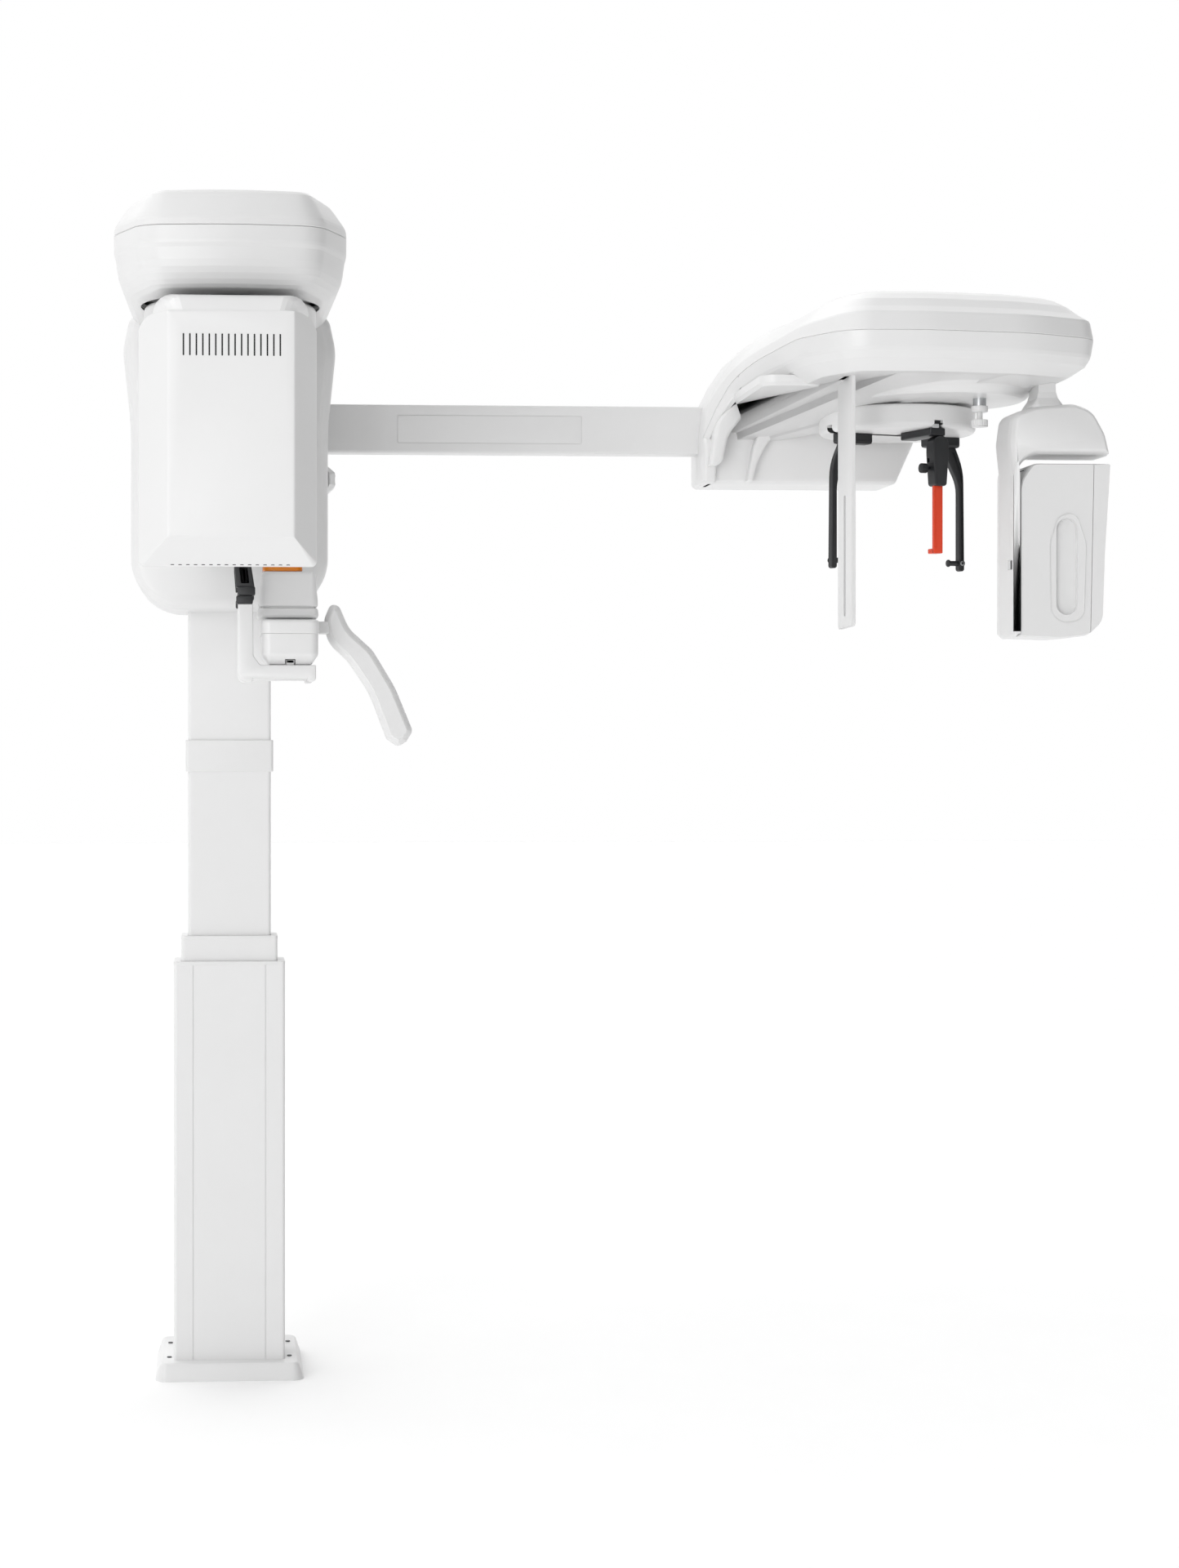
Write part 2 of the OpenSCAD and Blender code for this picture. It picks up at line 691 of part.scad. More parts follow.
function bezier(p, t) = p[0] * pow(1 - t, 3) + p[1] * 3 * t * pow(1 - t, 2)
  + p[2] * 3 * t * t * (1 - t) + p[3] * pow(t, 3);
function unit(v) = v / norm(v);
function handle_side(t, s) = let(
    ahead = bezier(handle_curve, t + 0.01),
    behind = bezier(handle_curve, t - 0.01),
    along = unit(ahead - behind),
    half = handle_half[0] + (handle_half[1] - handle_half[0]) * t)
  bezier(handle_curve, t) + s * half * [-along.y, along.x];

module patient_handle() color(white) {
  steps = 10;
  pushed(handle_y[0], handle_y[1]) {
    polygon(concat([for (i = [0:steps]) handle_side(i / steps, 1)],
                   [for (i = [steps:-1:0]) handle_side(i / steps, -1)]));
    translate(handle_curve[0]) circle(handle_half[0]);
  }
  block([chin_x[1], handle_y[0], 1394], [172, handle_y[1], 1414]);
}

// ---------------------------------------------------------------- side arm

module ceph_arm() color(white) difference() {
  block([arm_x0, -arm_d / 2, arm_z], [arm_x1, arm_d / 2, arm_top]);
  block([arm_x0 - 1, -arm_d / 2 + arm_t, arm_z + arm_t], [arm_x1 + 1, arm_d / 2 - arm_t, arm_top - arm_t]);
}

module ceph_frame() color("silver") difference() {
  union() {
    translate([0, 0, ceph_plate_z]) linear_extrude(ceph_plate_t) polygon([
      [1040, -545], [1430, -545], [1500, -500], [1500, -130], [1420, 0], [1040, 0]]);
    block([arm_x1, -arm_d / 2, arm_z], [arm_x1 + 60, arm_d / 2, ceph_plate_z]);
    translate([disc_c.x, disc_c.y, pod_z]) cylinder(ceph_plate_z - pod_z, r = disc_hub_r + 22);
    translate([knob_c.x, knob_c.y, pod_z - 12]) cylinder(ceph_plate_z - pod_z + 12, r = 12);
    block([blade_x - 10, -545, ceph_plate_z - 14], [blade_x + 17, -120, ceph_plate_z]);
    block([sensor_x + 55, -500, ceph_plate_z - 14], [sensor_x + 95, -132, ceph_plate_z]);
  }
  translate([disc_c.x, disc_c.y, pod_z - 1]) cylinder(ceph_plate_z - pod_z - 5, r = disc_hub_r + run_gap);
  translate([knob_c.x, knob_c.y, pod_z - 13]) cylinder(30, r = 4 + run_gap);
}

module ceph_rear_web() color(white) difference() {
  block([web_x[0], web_y[0], web_z], [web_x[1], web_y[1], rim_z]);
  block([web_x[0] + shell_t, web_y[0] + shell_t, web_z + shell_t],
        [web_x[1] - shell_t, web_y[1] - shell_t, rim_z + 1]);
  block([web_x[0] - 1, -arm_d / 2, arm_z], [web_x[0] + shell_t + 1, arm_d / 2, rim_z + 1]);
}

// Plan of the cephalometric canopy
module ceph_outline(shrink) {
  hull() {
    translate([1112, -520]) circle(120 - shrink);
    translate([1290, -526]) circle(110 - shrink);
    translate([1457, -470]) circle(90 - shrink);
    translate([1487, -200]) circle(60 - shrink);
    translate([1360, 0]) circle(60 - shrink);
    translate([1052, 0]) circle(60 - shrink);
  }
  translate([web_x[0] + shrink, web_y[0] + shrink]) square([130 - shrink, web_y[1] - web_y[0] - 2 * shrink]);
}

module ceph_layer(shrink, z0, z1) translate([0, 0, z0]) linear_extrude(z1 - z0) ceph_outline(shrink);

module ceph_lower_cover() color(white) difference() {
  union() {
    ceph_layer(0, rim_z, ceph_seam_z);
    translate([pod_c.x, pod_c.y, pod_z]) cylinder(rim_z - pod_z, r = pod_r);
  }
  ceph_layer(shell_t, rim_z + shell_t, ceph_seam_z + 1);
  translate([pod_c.x, pod_c.y, pod_z + shell_t]) cylinder(rim_z - pod_z + 1, r = pod_r - shell_t);
  translate([disc_c.x, disc_c.y, pod_z - 1]) cylinder(50, r = disc_hub_r + 22);
  translate([knob_c.x, knob_c.y, pod_z - 1]) cylinder(50, r = 12);
  block([blade_x - 12, -562, rim_z - 1], [blade_x + 19, -110, rim_z + 10]);
  block([sensor_x + 53, -502, pod_z - 1], [sensor_x + 97, -120, rim_z + 10]);
  block([web_x[0] + shell_t, web_y[0] + shell_t, rim_z - 1], [arm_x1 + 61, web_y[1] - shell_t, rim_z + 10]);
  block([web_x[0] - 1, -arm_d / 2, rim_z - 1], [web_x[0] + 10, arm_d / 2, arm_top]);
}

module ceph_top_cover() color(white) difference() {
  union() {
    ceph_layer(0, ceph_seam_z, ceph_roof_z - 10);
    ceph_layer(45, ceph_roof_z - 10, ceph_top);
  }
  ceph_layer(shell_t, ceph_seam_z - 1, ceph_roof_z - 10 - shell_t);
  ceph_layer(45 + shell_t, ceph_seam_z, ceph_top - shell_t);
}

// ---------------------------------------------------------------- head holder

// Places a piece in the turned frame of the head holder
module holder() translate([disc_c.x, disc_c.y, 0]) rotate([0, 0, disc_turn]) children();

module cephalostat_disc() color(white) holder() difference() {
  union() {
    translate([0, 0, disc_z]) cylinder(disc_t, r = disc_r);
    translate([0, 0, disc_z + disc_t]) cylinder(ceph_plate_z - disc_z - disc_t - 8, r = disc_hub_r);
  }
  block([-disc_r - 1, -9, disc_z - 1], [disc_r + 1, 9, disc_z + 14]);
  block([-9, -disc_r - 1, disc_z - 1], [9, -18, disc_z + 14]);
  translate([0, 0, disc_z + 18]) difference() {
    cylinder(disc_t - 22, r = disc_r - 5);
    translate([0, 0, -1]) cylinder(disc_t, r = disc_hub_r);
  }
}

// One ear arm: a slider under the disc, a leg and its plug, drawn on the +X side
module ear_arm() {
  block([ear_reach - 78, -9 + slide_gap, disc_z], [ear_reach - 6, 9 - slide_gap, disc_z + 14 - slide_gap]);
  block([ear_reach - 78, -14, disc_z - 22], [ear_reach - 6, 14, disc_z - slide_gap]);
  block([ear_reach - 70, -8, disc_z - slide_gap], [ear_reach - 10, 8, disc_z]);
  translate([0, 12, 0]) rotate([90, 0, 0]) linear_extrude(24) polygon([
    [ear_reach - 38, disc_z - 22], [ear_reach - 6, disc_z - 22],
    [ear_reach + ear_t / 2, disc_z - 60], [ear_reach + ear_t / 2, ear_z],
    [ear_reach - ear_t / 2, ear_z], [ear_reach - ear_t / 2, disc_z - 85]]);
  translate([ear_reach - ear_t / 2, 0, plug_z]) rotate([0, -90, 0]) cylinder(18, r = 5);
  translate([ear_reach - ear_t / 2 - 18, 0, plug_z]) rotate([0, -90, 0]) cylinder(4, r = 7);
}

module ear_arm_right() color("#202020") holder() ear_arm();

module ear_arm_left() color("#202020") holder() rotate([0, 0, 180]) ear_arm();

module nasion_body() color("#202020") holder() {
  block([-9 + slide_gap, -nasion_reach + 8, disc_z], [9 - slide_gap, -50, disc_z + 14 - slide_gap]);
  block([-9 + slide_gap, -nasion_reach + 8, disc_z - slide_gap], [9 - slide_gap, -50, disc_z]);
  block([-16, -nasion_reach + 2, disc_z - 14], [16, -40, disc_z - slide_gap]);
  difference() {
    translate([0, -nasion_reach + 28, 0]) rotate([90, 0, 0]) linear_extrude(28) polygon([
      [-16, disc_z - 14], [16, disc_z - 14], [16, nasion_z[0] + 60], [12.5, nasion_z[0]],
      [-12.5, nasion_z[0]], [-16, nasion_z[0] + 60]]);
    block([-9 - slide_gap, -nasion_reach + 10 - slide_gap, nasion_z[0] - 1],
          [9 + slide_gap, -nasion_reach + 18 + slide_gap, disc_z - 20]);
  }
}

module nasion_bar() color("orangered") holder() {
  block([-9, -nasion_reach + 10, bar_end_z], [9, -nasion_reach + 18, nasion_z[0] + 52]);
  block([-9, -nasion_reach + 18, bar_end_z], [9, -nasion_reach + 33, bar_end_z + 9]);
}

module nasion_knob() color("#202020") holder()
  translate([-15 - slide_gap, -nasion_reach + 20, nasion_z[0] + 33]) rotate([0, -90, 0]) cylinder(12, r = 9);

module disc_knob() color("gainsboro") translate([knob_c.x, knob_c.y, 0]) {
  translate([0, 0, 1776]) cylinder(14, r = 15);
  translate([0, 0, 1790]) cylinder(pod_z + 10 - 1790, r = 4);
}

module collimator_plate() color(white) difference() {
  union() {
    block([blade_x, blade_y[0], blade_z[0]], [blade_x + blade_t, blade_y[1], blade_z[1] + 6]);
    block([blade_x - 8, blade_y[0] + 20, blade_z[1] + 6],
          [blade_x + blade_t, blade_y[1] - 20, ceph_plate_z - 14 - slide_gap]);
  }
  block([blade_x - 1, -491, 1428], [blade_x + blade_t + 1, -488, 1640]);
}

// ---------------------------------------------------------------- sensor of the side arm

module ceph_sensor_hood() color(white) {
  y_mid = (ceph_sensor_y[0] + ceph_sensor_y[1]) / 2;
  depth = ceph_sensor_y[1] - ceph_sensor_y[0];
  difference() {
    prism(sensor_w, depth, sensor_r, sensor_gap_z[1], sensor_top, y_mid, sensor_x + sensor_w / 2);
    prism(sensor_w - 8, depth - 8, sensor_r - 4, sensor_gap_z[1] + 4, sensor_top - 4, y_mid, sensor_x + sensor_w / 2);
  }
  block([sensor_x + 60, y_mid - 40, sensor_top], [sensor_x + 90, y_mid + 40, ceph_plate_z - 14 - slide_gap]);
  block([sensor_x, ceph_sensor_y[0] + 10, sensor_z], [sensor_x + 24, ceph_sensor_y[1] - 4, sensor_gap_z[1]]);
}

module ceph_cassette() color(white) difference() {
  y_mid = (ceph_sensor_y[0] + ceph_sensor_y[1]) / 2;
  depth = ceph_sensor_y[1] - ceph_sensor_y[0];
  intersection() {
    prism(sensor_w + 40, depth, sensor_r, sensor_z, sensor_gap_z[0], y_mid, sensor_x + sensor_w / 2 - 20);
    block([sensor_x + 24, -1000, sensor_z - 1], [sensor_x + sensor_w + 1, 0, sensor_gap_z[0] + 1]);
  }
  block([sensor_x + 28, ceph_sensor_y[0] + 22, sensor_z + 4],
        [sensor_x + sensor_w - 4, ceph_sensor_y[1] - 6, sensor_gap_z[0] - 4]);
  translate([sensor_x + 100, ceph_sensor_y[0], 0]) rotate([90, 0, 0]) translate([0, 0, -16])
    linear_extrude(20) {
      translate([0, 1520]) square([42, 110], center = true);
      translate([0, 1465]) circle(21);
      translate([0, 1575]) circle(21);
    }
}

module ceph_detector() color("dimgray")
  block([sensor_x + 28, ceph_sensor_y[0] + 40, sensor_z + 10], [sensor_x + 50, ceph_sensor_y[1] - 40, sensor_gap_z[0] - 10]);

base_plate();
base_cover();
base_screws();
lower_column();
wall_bracket();
lift_screw();
lower_glides();
middle_column();
middle_glides();
inner_column();
column_band();
lift_drive();
carriage_frame();
carriage_front_cover();
carriage_rear_cover();
control_pod();
height_rocker();
power_supply();
canopy_beam();
canopy_lower_cover();
canopy_top_cover();
bearing_ring();
rotation_motor();
drive_pulley();
drive_belt();
ceph_arm();
rotor_hub();
rotor_beam();
rotor_cover();
tubehead_cover();
tubehead_back_cover();
generator_tank();
xray_tube();
primary_collimator();
sensor_cover();
sensor_panel();
patient_arm();
chin_housing();
chin_block();
chin_cup();
temple_arm_front();
patient_handle();
temple_post_front();
temple_arm_back();
temple_post_back();
ceph_frame();
ceph_rear_web();
ceph_lower_cover();
ceph_top_cover();
cephalostat_disc();
ear_arm_left();
ear_arm_right();
nasion_body();
nasion_bar();
nasion_knob();
disc_knob();
collimator_plate();
ceph_sensor_hood();
ceph_cassette();
ceph_detector();
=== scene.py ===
# %% [markdown]
# # A panoramic dental x-ray machine
# The machine is a telescopic column with a carriage on it. The carriage holds a canopy, a turning
# x-ray arm under it, a chin rest, and a long side arm that ends in a second head with a head holder
# and a scanning sensor. Everything that carries load or moves comes from the CAD model, which is
# loaded first. Blender adds the moulded shells that people see.

import math

import bmesh
import bpy
from mathutils import Matrix, Vector
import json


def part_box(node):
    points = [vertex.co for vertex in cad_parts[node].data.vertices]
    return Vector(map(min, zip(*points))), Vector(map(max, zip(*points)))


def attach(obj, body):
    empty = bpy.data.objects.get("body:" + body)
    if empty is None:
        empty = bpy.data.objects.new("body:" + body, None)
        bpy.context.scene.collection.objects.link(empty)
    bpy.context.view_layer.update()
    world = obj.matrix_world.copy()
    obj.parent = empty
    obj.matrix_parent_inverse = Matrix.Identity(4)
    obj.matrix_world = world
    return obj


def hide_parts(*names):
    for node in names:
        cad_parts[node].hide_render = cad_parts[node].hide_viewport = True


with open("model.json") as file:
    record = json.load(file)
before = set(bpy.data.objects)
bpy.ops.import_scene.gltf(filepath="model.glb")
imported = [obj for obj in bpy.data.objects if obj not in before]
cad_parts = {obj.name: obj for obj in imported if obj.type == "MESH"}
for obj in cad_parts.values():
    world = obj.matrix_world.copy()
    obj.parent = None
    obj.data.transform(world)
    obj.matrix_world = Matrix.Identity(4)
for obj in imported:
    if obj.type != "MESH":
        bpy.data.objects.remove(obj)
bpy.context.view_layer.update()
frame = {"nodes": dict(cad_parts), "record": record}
nodes = frame["nodes"]
MM = 0.001

# %% [markdown]
# ## Camera
# The machine is seen from the front, at the height of an adult's chest. The column stays upright
# because the camera is level, and the object sits left of the lens axis, so the camera turns a
# little to the right and a small shift takes up the rest.

# %% Camera
CAMERA_AT = Vector((-0.0205, -5.5408, 1.196))
CAMERA_YAW = math.radians(3.647)
camera = bpy.data.objects.new("camera", bpy.data.cameras.new("camera"))
bpy.context.scene.collection.objects.link(camera)
camera.location = CAMERA_AT
camera.rotation_euler = (math.radians(90), 0, -CAMERA_YAW)
camera.data.sensor_fit = "VERTICAL"
camera.data.sensor_height = 36
camera.data.lens = 65.82
camera.data.shift_x = 0.12
camera.data.shift_y = -0.0244
camera.data.clip_end = 50
bpy.context.scene.camera = camera
print("camera at", tuple(CAMERA_AT), "lens", camera.data.lens)

# %% [markdown]
# ## Studio
# A pale seamless floor, a large soft light on the left and a bright surround. The machine is white
# on white, so the shapes are told by soft shade on the right-hand sides and undersides.

# %% Studio
def linear(hex_colour):
    """An sRGB hex colour as the linear RGBA that the shaders want."""
    values = [int(hex_colour[i:i + 2], 16) / 255 for i in (0, 2, 4)]
    return [v / 12.92 if v <= 0.04045 else ((v + 0.055) / 1.055) ** 2.4 for v in values] + [1.0]


def area_light(name, at, aim, size, power):
    """A square soft light at one point, aimed at another."""
    light = bpy.data.objects.new(name, bpy.data.lights.new(name, "AREA"))
    light.data.size = size
    light.data.energy = power
    light.location = at
    light.rotation_euler = (Vector(aim) - Vector(at)).to_track_quat("-Z", "Y").to_euler()
    bpy.context.scene.collection.objects.link(light)
    return light


area_light("key light", (-2.5, -6.4, 1.7), (0.0, -0.3, 1.3), 3.4, 122)
world = bpy.data.worlds.new("white surround")
world.use_nodes = True
sky = world.node_tree
surround = sky.nodes["Background"]
surround.inputs["Strength"].default_value = 1.0

# %% [markdown]
# The surround is bright behind the machine and dimmer beside and behind the viewer, as when white
# paper hangs behind a product and the rest of the room is left half dark.

# %% Surround
def add(tree, kind, settings=None, **links):
    """Adds a node to a tree. settings are its properties and input values, links its input links."""
    node = tree.nodes.new(kind)
    for key, value in (settings or {}).items():
        if hasattr(node, key):
            setattr(node, key, value)
        else:
            node.inputs[key].default_value = value
    for key, source in links.items():
        tree.links.new(source, node.inputs[key.replace("_", " ")])
    return node


way = add(sky, "ShaderNodeSeparateXYZ", Vector=add(sky, "ShaderNodeTexCoord").outputs["Generated"])
behind = add(sky, "ShaderNodeMapRange", {"From Min": 0.35, "From Max": 0.8, "To Min": 0.0, "To Max": 1.0},
             Value=way.outputs["Y"])
right = add(sky, "ShaderNodeMapRange", {"From Min": -0.5, "From Max": 0.8, "To Min": 0.6, "To Max": 0.08},
            Value=way.outputs["X"])
above = add(sky, "ShaderNodeMapRange", {"From Min": 0.3, "From Max": 0.9, "To Min": 1.0, "To Max": 2.9},
            Value=way.outputs["Z"])
tone = add(sky, "ShaderNodeMix", {"data_type": "FLOAT"}, Factor=behind.outputs["Result"])
sky.links.new(right.outputs["Result"], tone.inputs[2])
tone.inputs[3].default_value = 1.0
lifted = add(sky, "ShaderNodeMath", {"operation": "MULTIPLY"})
sky.links.new(tone.outputs[0], lifted.inputs[0])
sky.links.new(above.outputs["Result"], lifted.inputs[1])
sky.links.new(lifted.outputs["Value"], surround.inputs["Color"])
bpy.context.scene.world = world
bpy.context.scene.view_settings.view_transform = "Standard"
bpy.context.scene.view_settings.look = "None"

# %% [markdown]
# ## Finishes
# Every finish has a slow change of tone, a fine grain in its normal and slightly uneven gloss.

# %% How a finish is made
def finish(name, colour, roughness, second=None, patch_mm=180, grain_mm=1.2, grain=0.02,
           rough_spread=0.08, metallic=0.0, **settings):
    """A finish with a slow change of tone, a fine moulded or sprayed grain, and uneven gloss."""
    material = bpy.data.materials.new(name)
    material.use_nodes = True
    tree = material.node_tree
    shader = tree.nodes["Principled BSDF"]
    shader.inputs["Metallic"].default_value = metallic
    for key, value in settings.items():
        shader.inputs[key.replace("_", " ")].default_value = value
    place = add(tree, "ShaderNodeTexCoord").outputs["Object"]
    patches = add(tree, "ShaderNodeTexNoise", {"Scale": 1 / (patch_mm * MM), "Detail": 3.0}, Vector=place)
    tone = add(tree, "ShaderNodeMix", {"data_type": "RGBA"})
    tone.inputs[6].default_value = linear(colour)
    tone.inputs[7].default_value = linear(second or colour)
    tree.links.new(patches.outputs["Fac"], tone.inputs[0])
    tree.links.new(tone.outputs[2], shader.inputs["Base Color"])
    pebbles = add(tree, "ShaderNodeTexNoise", {"Scale": 1 / (grain_mm * MM), "Detail": 2.0}, Vector=place)
    gloss = add(tree, "ShaderNodeMapRange", {"To Min": roughness - rough_spread / 2,
                                             "To Max": roughness + rough_spread / 2},
                Value=patches.outputs["Fac"])
    tree.links.new(gloss.outputs["Result"], shader.inputs["Roughness"])
    bump = add(tree, "ShaderNodeBump", {"Strength": 1.0, "Distance": grain * MM},
               Height=pebbles.outputs["Fac"])
    tree.links.new(bump.outputs["Normal"], shader.inputs["Normal"])
    return material


# %% [markdown]
# The shells are moulded in white ABS with a fine spark-eroded grain, satin rather than glossy. The
# column and the arms are powder-coated aluminium, a touch greyer, with a slight orange peel. The
# supports that must not glare are black polyamide.

# %% Finishes
white_abs = finish("white moulded ABS", "E1E1E1", 0.34, "DDDDDD", IOR=1.53)
powder_coat = finish("white powder coat", "E3E3E3", 0.42, "DFDFDF", grain_mm=2.0, grain=0.03)
side_arm_coat = finish("grey-white powder coat", "DDDDDD", 0.38, "D8D8D8", grain_mm=2.0, grain=0.03)
black_nylon = finish("black moulded polyamide", "17181A", 0.42, "1F2023", grain_mm=0.9, grain=0.04)
grey_abs = finish("grey moulded ABS", "B9BABB", 0.4, "B0B1B2")
red_nylon = finish("orange-red moulded polyamide", "E2431B", 0.38, "D93A14", grain_mm=0.9)
amber_acrylic = finish("amber acrylic", "F79A1E", 0.18, "EE7F10", patch_mm=25, IOR=1.49,
                       Transmission_Weight=0.25, Coat_Weight=0.3)
steel_zinc = finish("zinc-plated steel", "A9ABAD", 0.35, "9C9EA0", grain_mm=4, metallic=1.0)
aluminium = finish("machined aluminium", "C6C8CA", 0.32, "BBBDBF", grain_mm=3, metallic=1.0)
black_oxide = finish("black oxide steel", "2A2B2D", 0.4, "333437", metallic=0.8)
belt_rubber = finish("moulded rubber", "141414", 0.7, "1B1B1B")
clear_glass = finish("lead glass", "DCE6EA", 0.05, IOR=1.52, Transmission_Weight=0.9)
slot_finish = {
    "white_shell": white_abs, "column_paint": powder_coat, "arm_paint": side_arm_coat,
    "steel": steel_zinc, "dark_steel": black_oxide, "steel_box": steel_zinc, "cast_part": aluminium,
    "aluminium": aluminium, "grey_plastic": grey_abs, "dark_plastic": black_nylon,
    "black_rubber": belt_rubber, "amber_plastic": amber_acrylic, "red_plastic": red_nylon,
    "tube_glass": clear_glass,
}
for part in frame["record"]["subparts"]:
    node = nodes[part["node"]]
    node.data.materials.clear()
    node.data.materials.append(slot_finish[part["material_slot"]])
print("finishes:", len(slot_finish))

# %% [markdown]
# ## Ways of shaping
# A moulded shell is a plan with rounded corners that changes a little from level to level. The plan
# is one face. It is extruded once for every level, and the new ring takes the same plan stepped in,
# with its corner radii that much smaller, so every shell stays one clean skin. A form is drawn lying
# down and then stood up where it belongs.

# %% Plans
STAND_UP = Matrix(((1, 0, 0), (0, 0, -1), (0, 1, 0)))       # plan x, y becomes x, z
SEEN_FROM_SIDE = Matrix(((0, 0, 1), (1, 0, 0), (0, 1, 0)))  # plan x, y becomes y, z


def plan_ring(corners, inset=0.0):
    """The points of a rounded plan, stepped in by inset. Each corner is (x, y, radius), in millimetres."""
    count = len(corners)
    flat = [Vector(corner[:2]) for corner in corners]
    hand = 1 if sum(flat[i - 1].cross(flat[i]) for i in range(count)) > 0 else -1
    ways = [(flat[(i + 1) % count] - flat[i]).normalized() for i in range(count)]
    inwards = [hand * Vector((-way.y, way.x)) for way in ways]
    moved = [flat[i] + inset * (inwards[i - 1] + inwards[i]) / (1 + inwards[i - 1].dot(inwards[i]))
             for i in range(count)]
    turns = [math.atan2(ways[i - 1].cross(ways[i]), ways[i - 1].dot(ways[i])) for i in range(count)]
    radii = [max(r - math.copysign(inset, hand * turn), min(r, 0.6)) for (x, y, r), turn in zip(corners, turns)]
    reach = [r * math.tan(abs(turn) / 2) for r, turn in zip(radii, turns)]
    fit = [1.0] * count
    for i in range(count):
        j = (i + 1) % count
        room = (moved[j] - moved[i]).length / max(reach[i] + reach[j], 1e-9)
        fit[i], fit[j] = min(fit[i], room), min(fit[j], room)
    points = []
    for i, (x, y, radius) in enumerate(corners):
        if not radius:
            points.append(moved[i])
            continue
        start = moved[i] - ways[i - 1] * reach[i] * fit[i]
        centre = start + Vector((-ways[i - 1].y, ways[i - 1].x)) * math.copysign(radii[i] * fit[i], turns[i])
        steps = max(2, round(14 * abs(turns[i]) / (math.pi / 2)))
        for step in range(steps + 1):
            points.append(centre + Matrix.Rotation(turns[i] * step / steps, 2) @ (start - centre))
    return points


def box_corners(x0, y0, x1, y1, radius):
    """The four corners of a rectangle, all with one radius."""
    return [(x0, y0, radius), (x1, y0, radius), (x1, y1, radius), (x0, y1, radius)]


# %% Shells
def shell(corners, levels, turn=None):
    """A closed form through levels of (height, inset), low to high."""
    form = bmesh.new()
    place = form.verts.layers.int.new("place")
    first = plan_ring(corners, levels[0][1])
    for i, point in enumerate(first):
        form.verts.new((point.x * MM, point.y * MM, levels[0][0] * MM))[place] = i
    face = form.faces.new(form.verts[:])
    for level, inset in levels[1:]:
        grown = bmesh.ops.extrude_face_region(form, geom=[face])["geom"]
        face = [part for part in grown if isinstance(part, bmesh.types.BMFace)][0]
        ring = plan_ring(corners, inset)
        for corner in face.verts:
            corner.co = ring[corner[place]].to_3d() * MM
            corner.co.z = level * MM
    if turn:
        bmesh.ops.transform(form, matrix=turn.to_4x4(), verts=form.verts)
    return form


def soft_levels(low, high, radius, steps=4, low_radius=None):
    """Levels for a slab whose two edges are rounded by quarter circles."""
    low_radius = radius if low_radius is None else low_radius
    turns = [math.pi / 2 * i / steps for i in range(steps + 1)]
    under = [(low + low_radius * (1 - math.sin(t)), low_radius * (1 - math.cos(t))) for t in turns[::-1]]
    over = [(high - radius * (1 - math.sin(t)), radius * (1 - math.cos(t))) for t in turns]
    return under + over


def settle(form):
    """Merges doubles and points every face outwards."""
    bmesh.ops.remove_doubles(form, verts=form.verts, dist=2e-5)
    bmesh.ops.recalc_face_normals(form, faces=form.faces)


def join(*forms):
    """Puts several closed forms in one."""
    whole = forms[0]
    for form in forms[1:]:
        settle(form)
        loose = bpy.data.meshes.new("loose")
        form.to_mesh(loose)
        form.free()
        whole.from_mesh(loose)
        bpy.data.meshes.remove(loose)
    return whole


def cut(form, cutter, how="DIFFERENCE"):
    """Cuts one closed form with another and gives back the result."""
    helpers = []
    for shape in (form, cutter):
        settle(shape)
        helpers.append(bpy.data.objects.new("helper", bpy.data.meshes.new("helper")))
        shape.to_mesh(helpers[-1].data)
        shape.free()
        bpy.context.scene.collection.objects.link(helpers[-1])
    saw = helpers[0].modifiers.new("saw", "BOOLEAN")
    saw.operation, saw.solver, saw.object = how, "EXACT", helpers[1]
    saw.use_self = True
    result = bmesh.new()
    result.from_object(helpers[0], bpy.context.evaluated_depsgraph_get())
    for helper in helpers:
        bpy.data.objects.remove(helper)
    return result


def piece(name, form, body, material, slot, *replaced, crease=28, rounded=0.0):
    """Makes the finished object of a form, on its body, in the CAD node's place."""
    settle(form)
    mesh = bpy.data.meshes.new(name)
    form.to_mesh(mesh)
    form.free()
    mesh.validate()
    mesh.shade_smooth()
    mesh.set_sharp_from_angle(angle=math.radians(crease))
    mesh.materials.append(material)
    made = bpy.data.objects.new(name, mesh)
    bpy.context.scene.collection.objects.link(made)
    if rounded:
        edge = made.modifiers.new("rounded edges", "BEVEL")
        edge.width, edge.segments, edge.limit_method = rounded * MM, 3, "ANGLE"
        edge.angle_limit, edge.harden_normals = math.radians(30), True
    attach(made, body)
    if replaced:
        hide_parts(*replaced)
    print(name, "faces", len(mesh.polygons))
    return made


# %% [markdown]
# ## Foot and column
# The foot is a low moulded cover with leaning sides. Three aluminium profiles slide in one another
# above it. Each profile keeps its CAD shape, and gets a moulded collar where its cut end would show.

# %% Foot
foot_low, foot_high = [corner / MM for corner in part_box("base_cover")]
foot = shell(box_corners(foot_low.x, foot_low.y, foot_high.x, foot_high.y, 22),
             [(0, 0), (4, 0.6), (24, 7.2), (28.5, 9), (31.5, 11.5), (33, 15)])
piece("foot_cover", foot, "floor_stand", white_abs, "white_shell", "base_cover")

# %% [markdown]
# A collar is a ring between two profiles. It is a slab with a hole, 0.6 mm larger than the inner
# profile, and its edges are rounded.

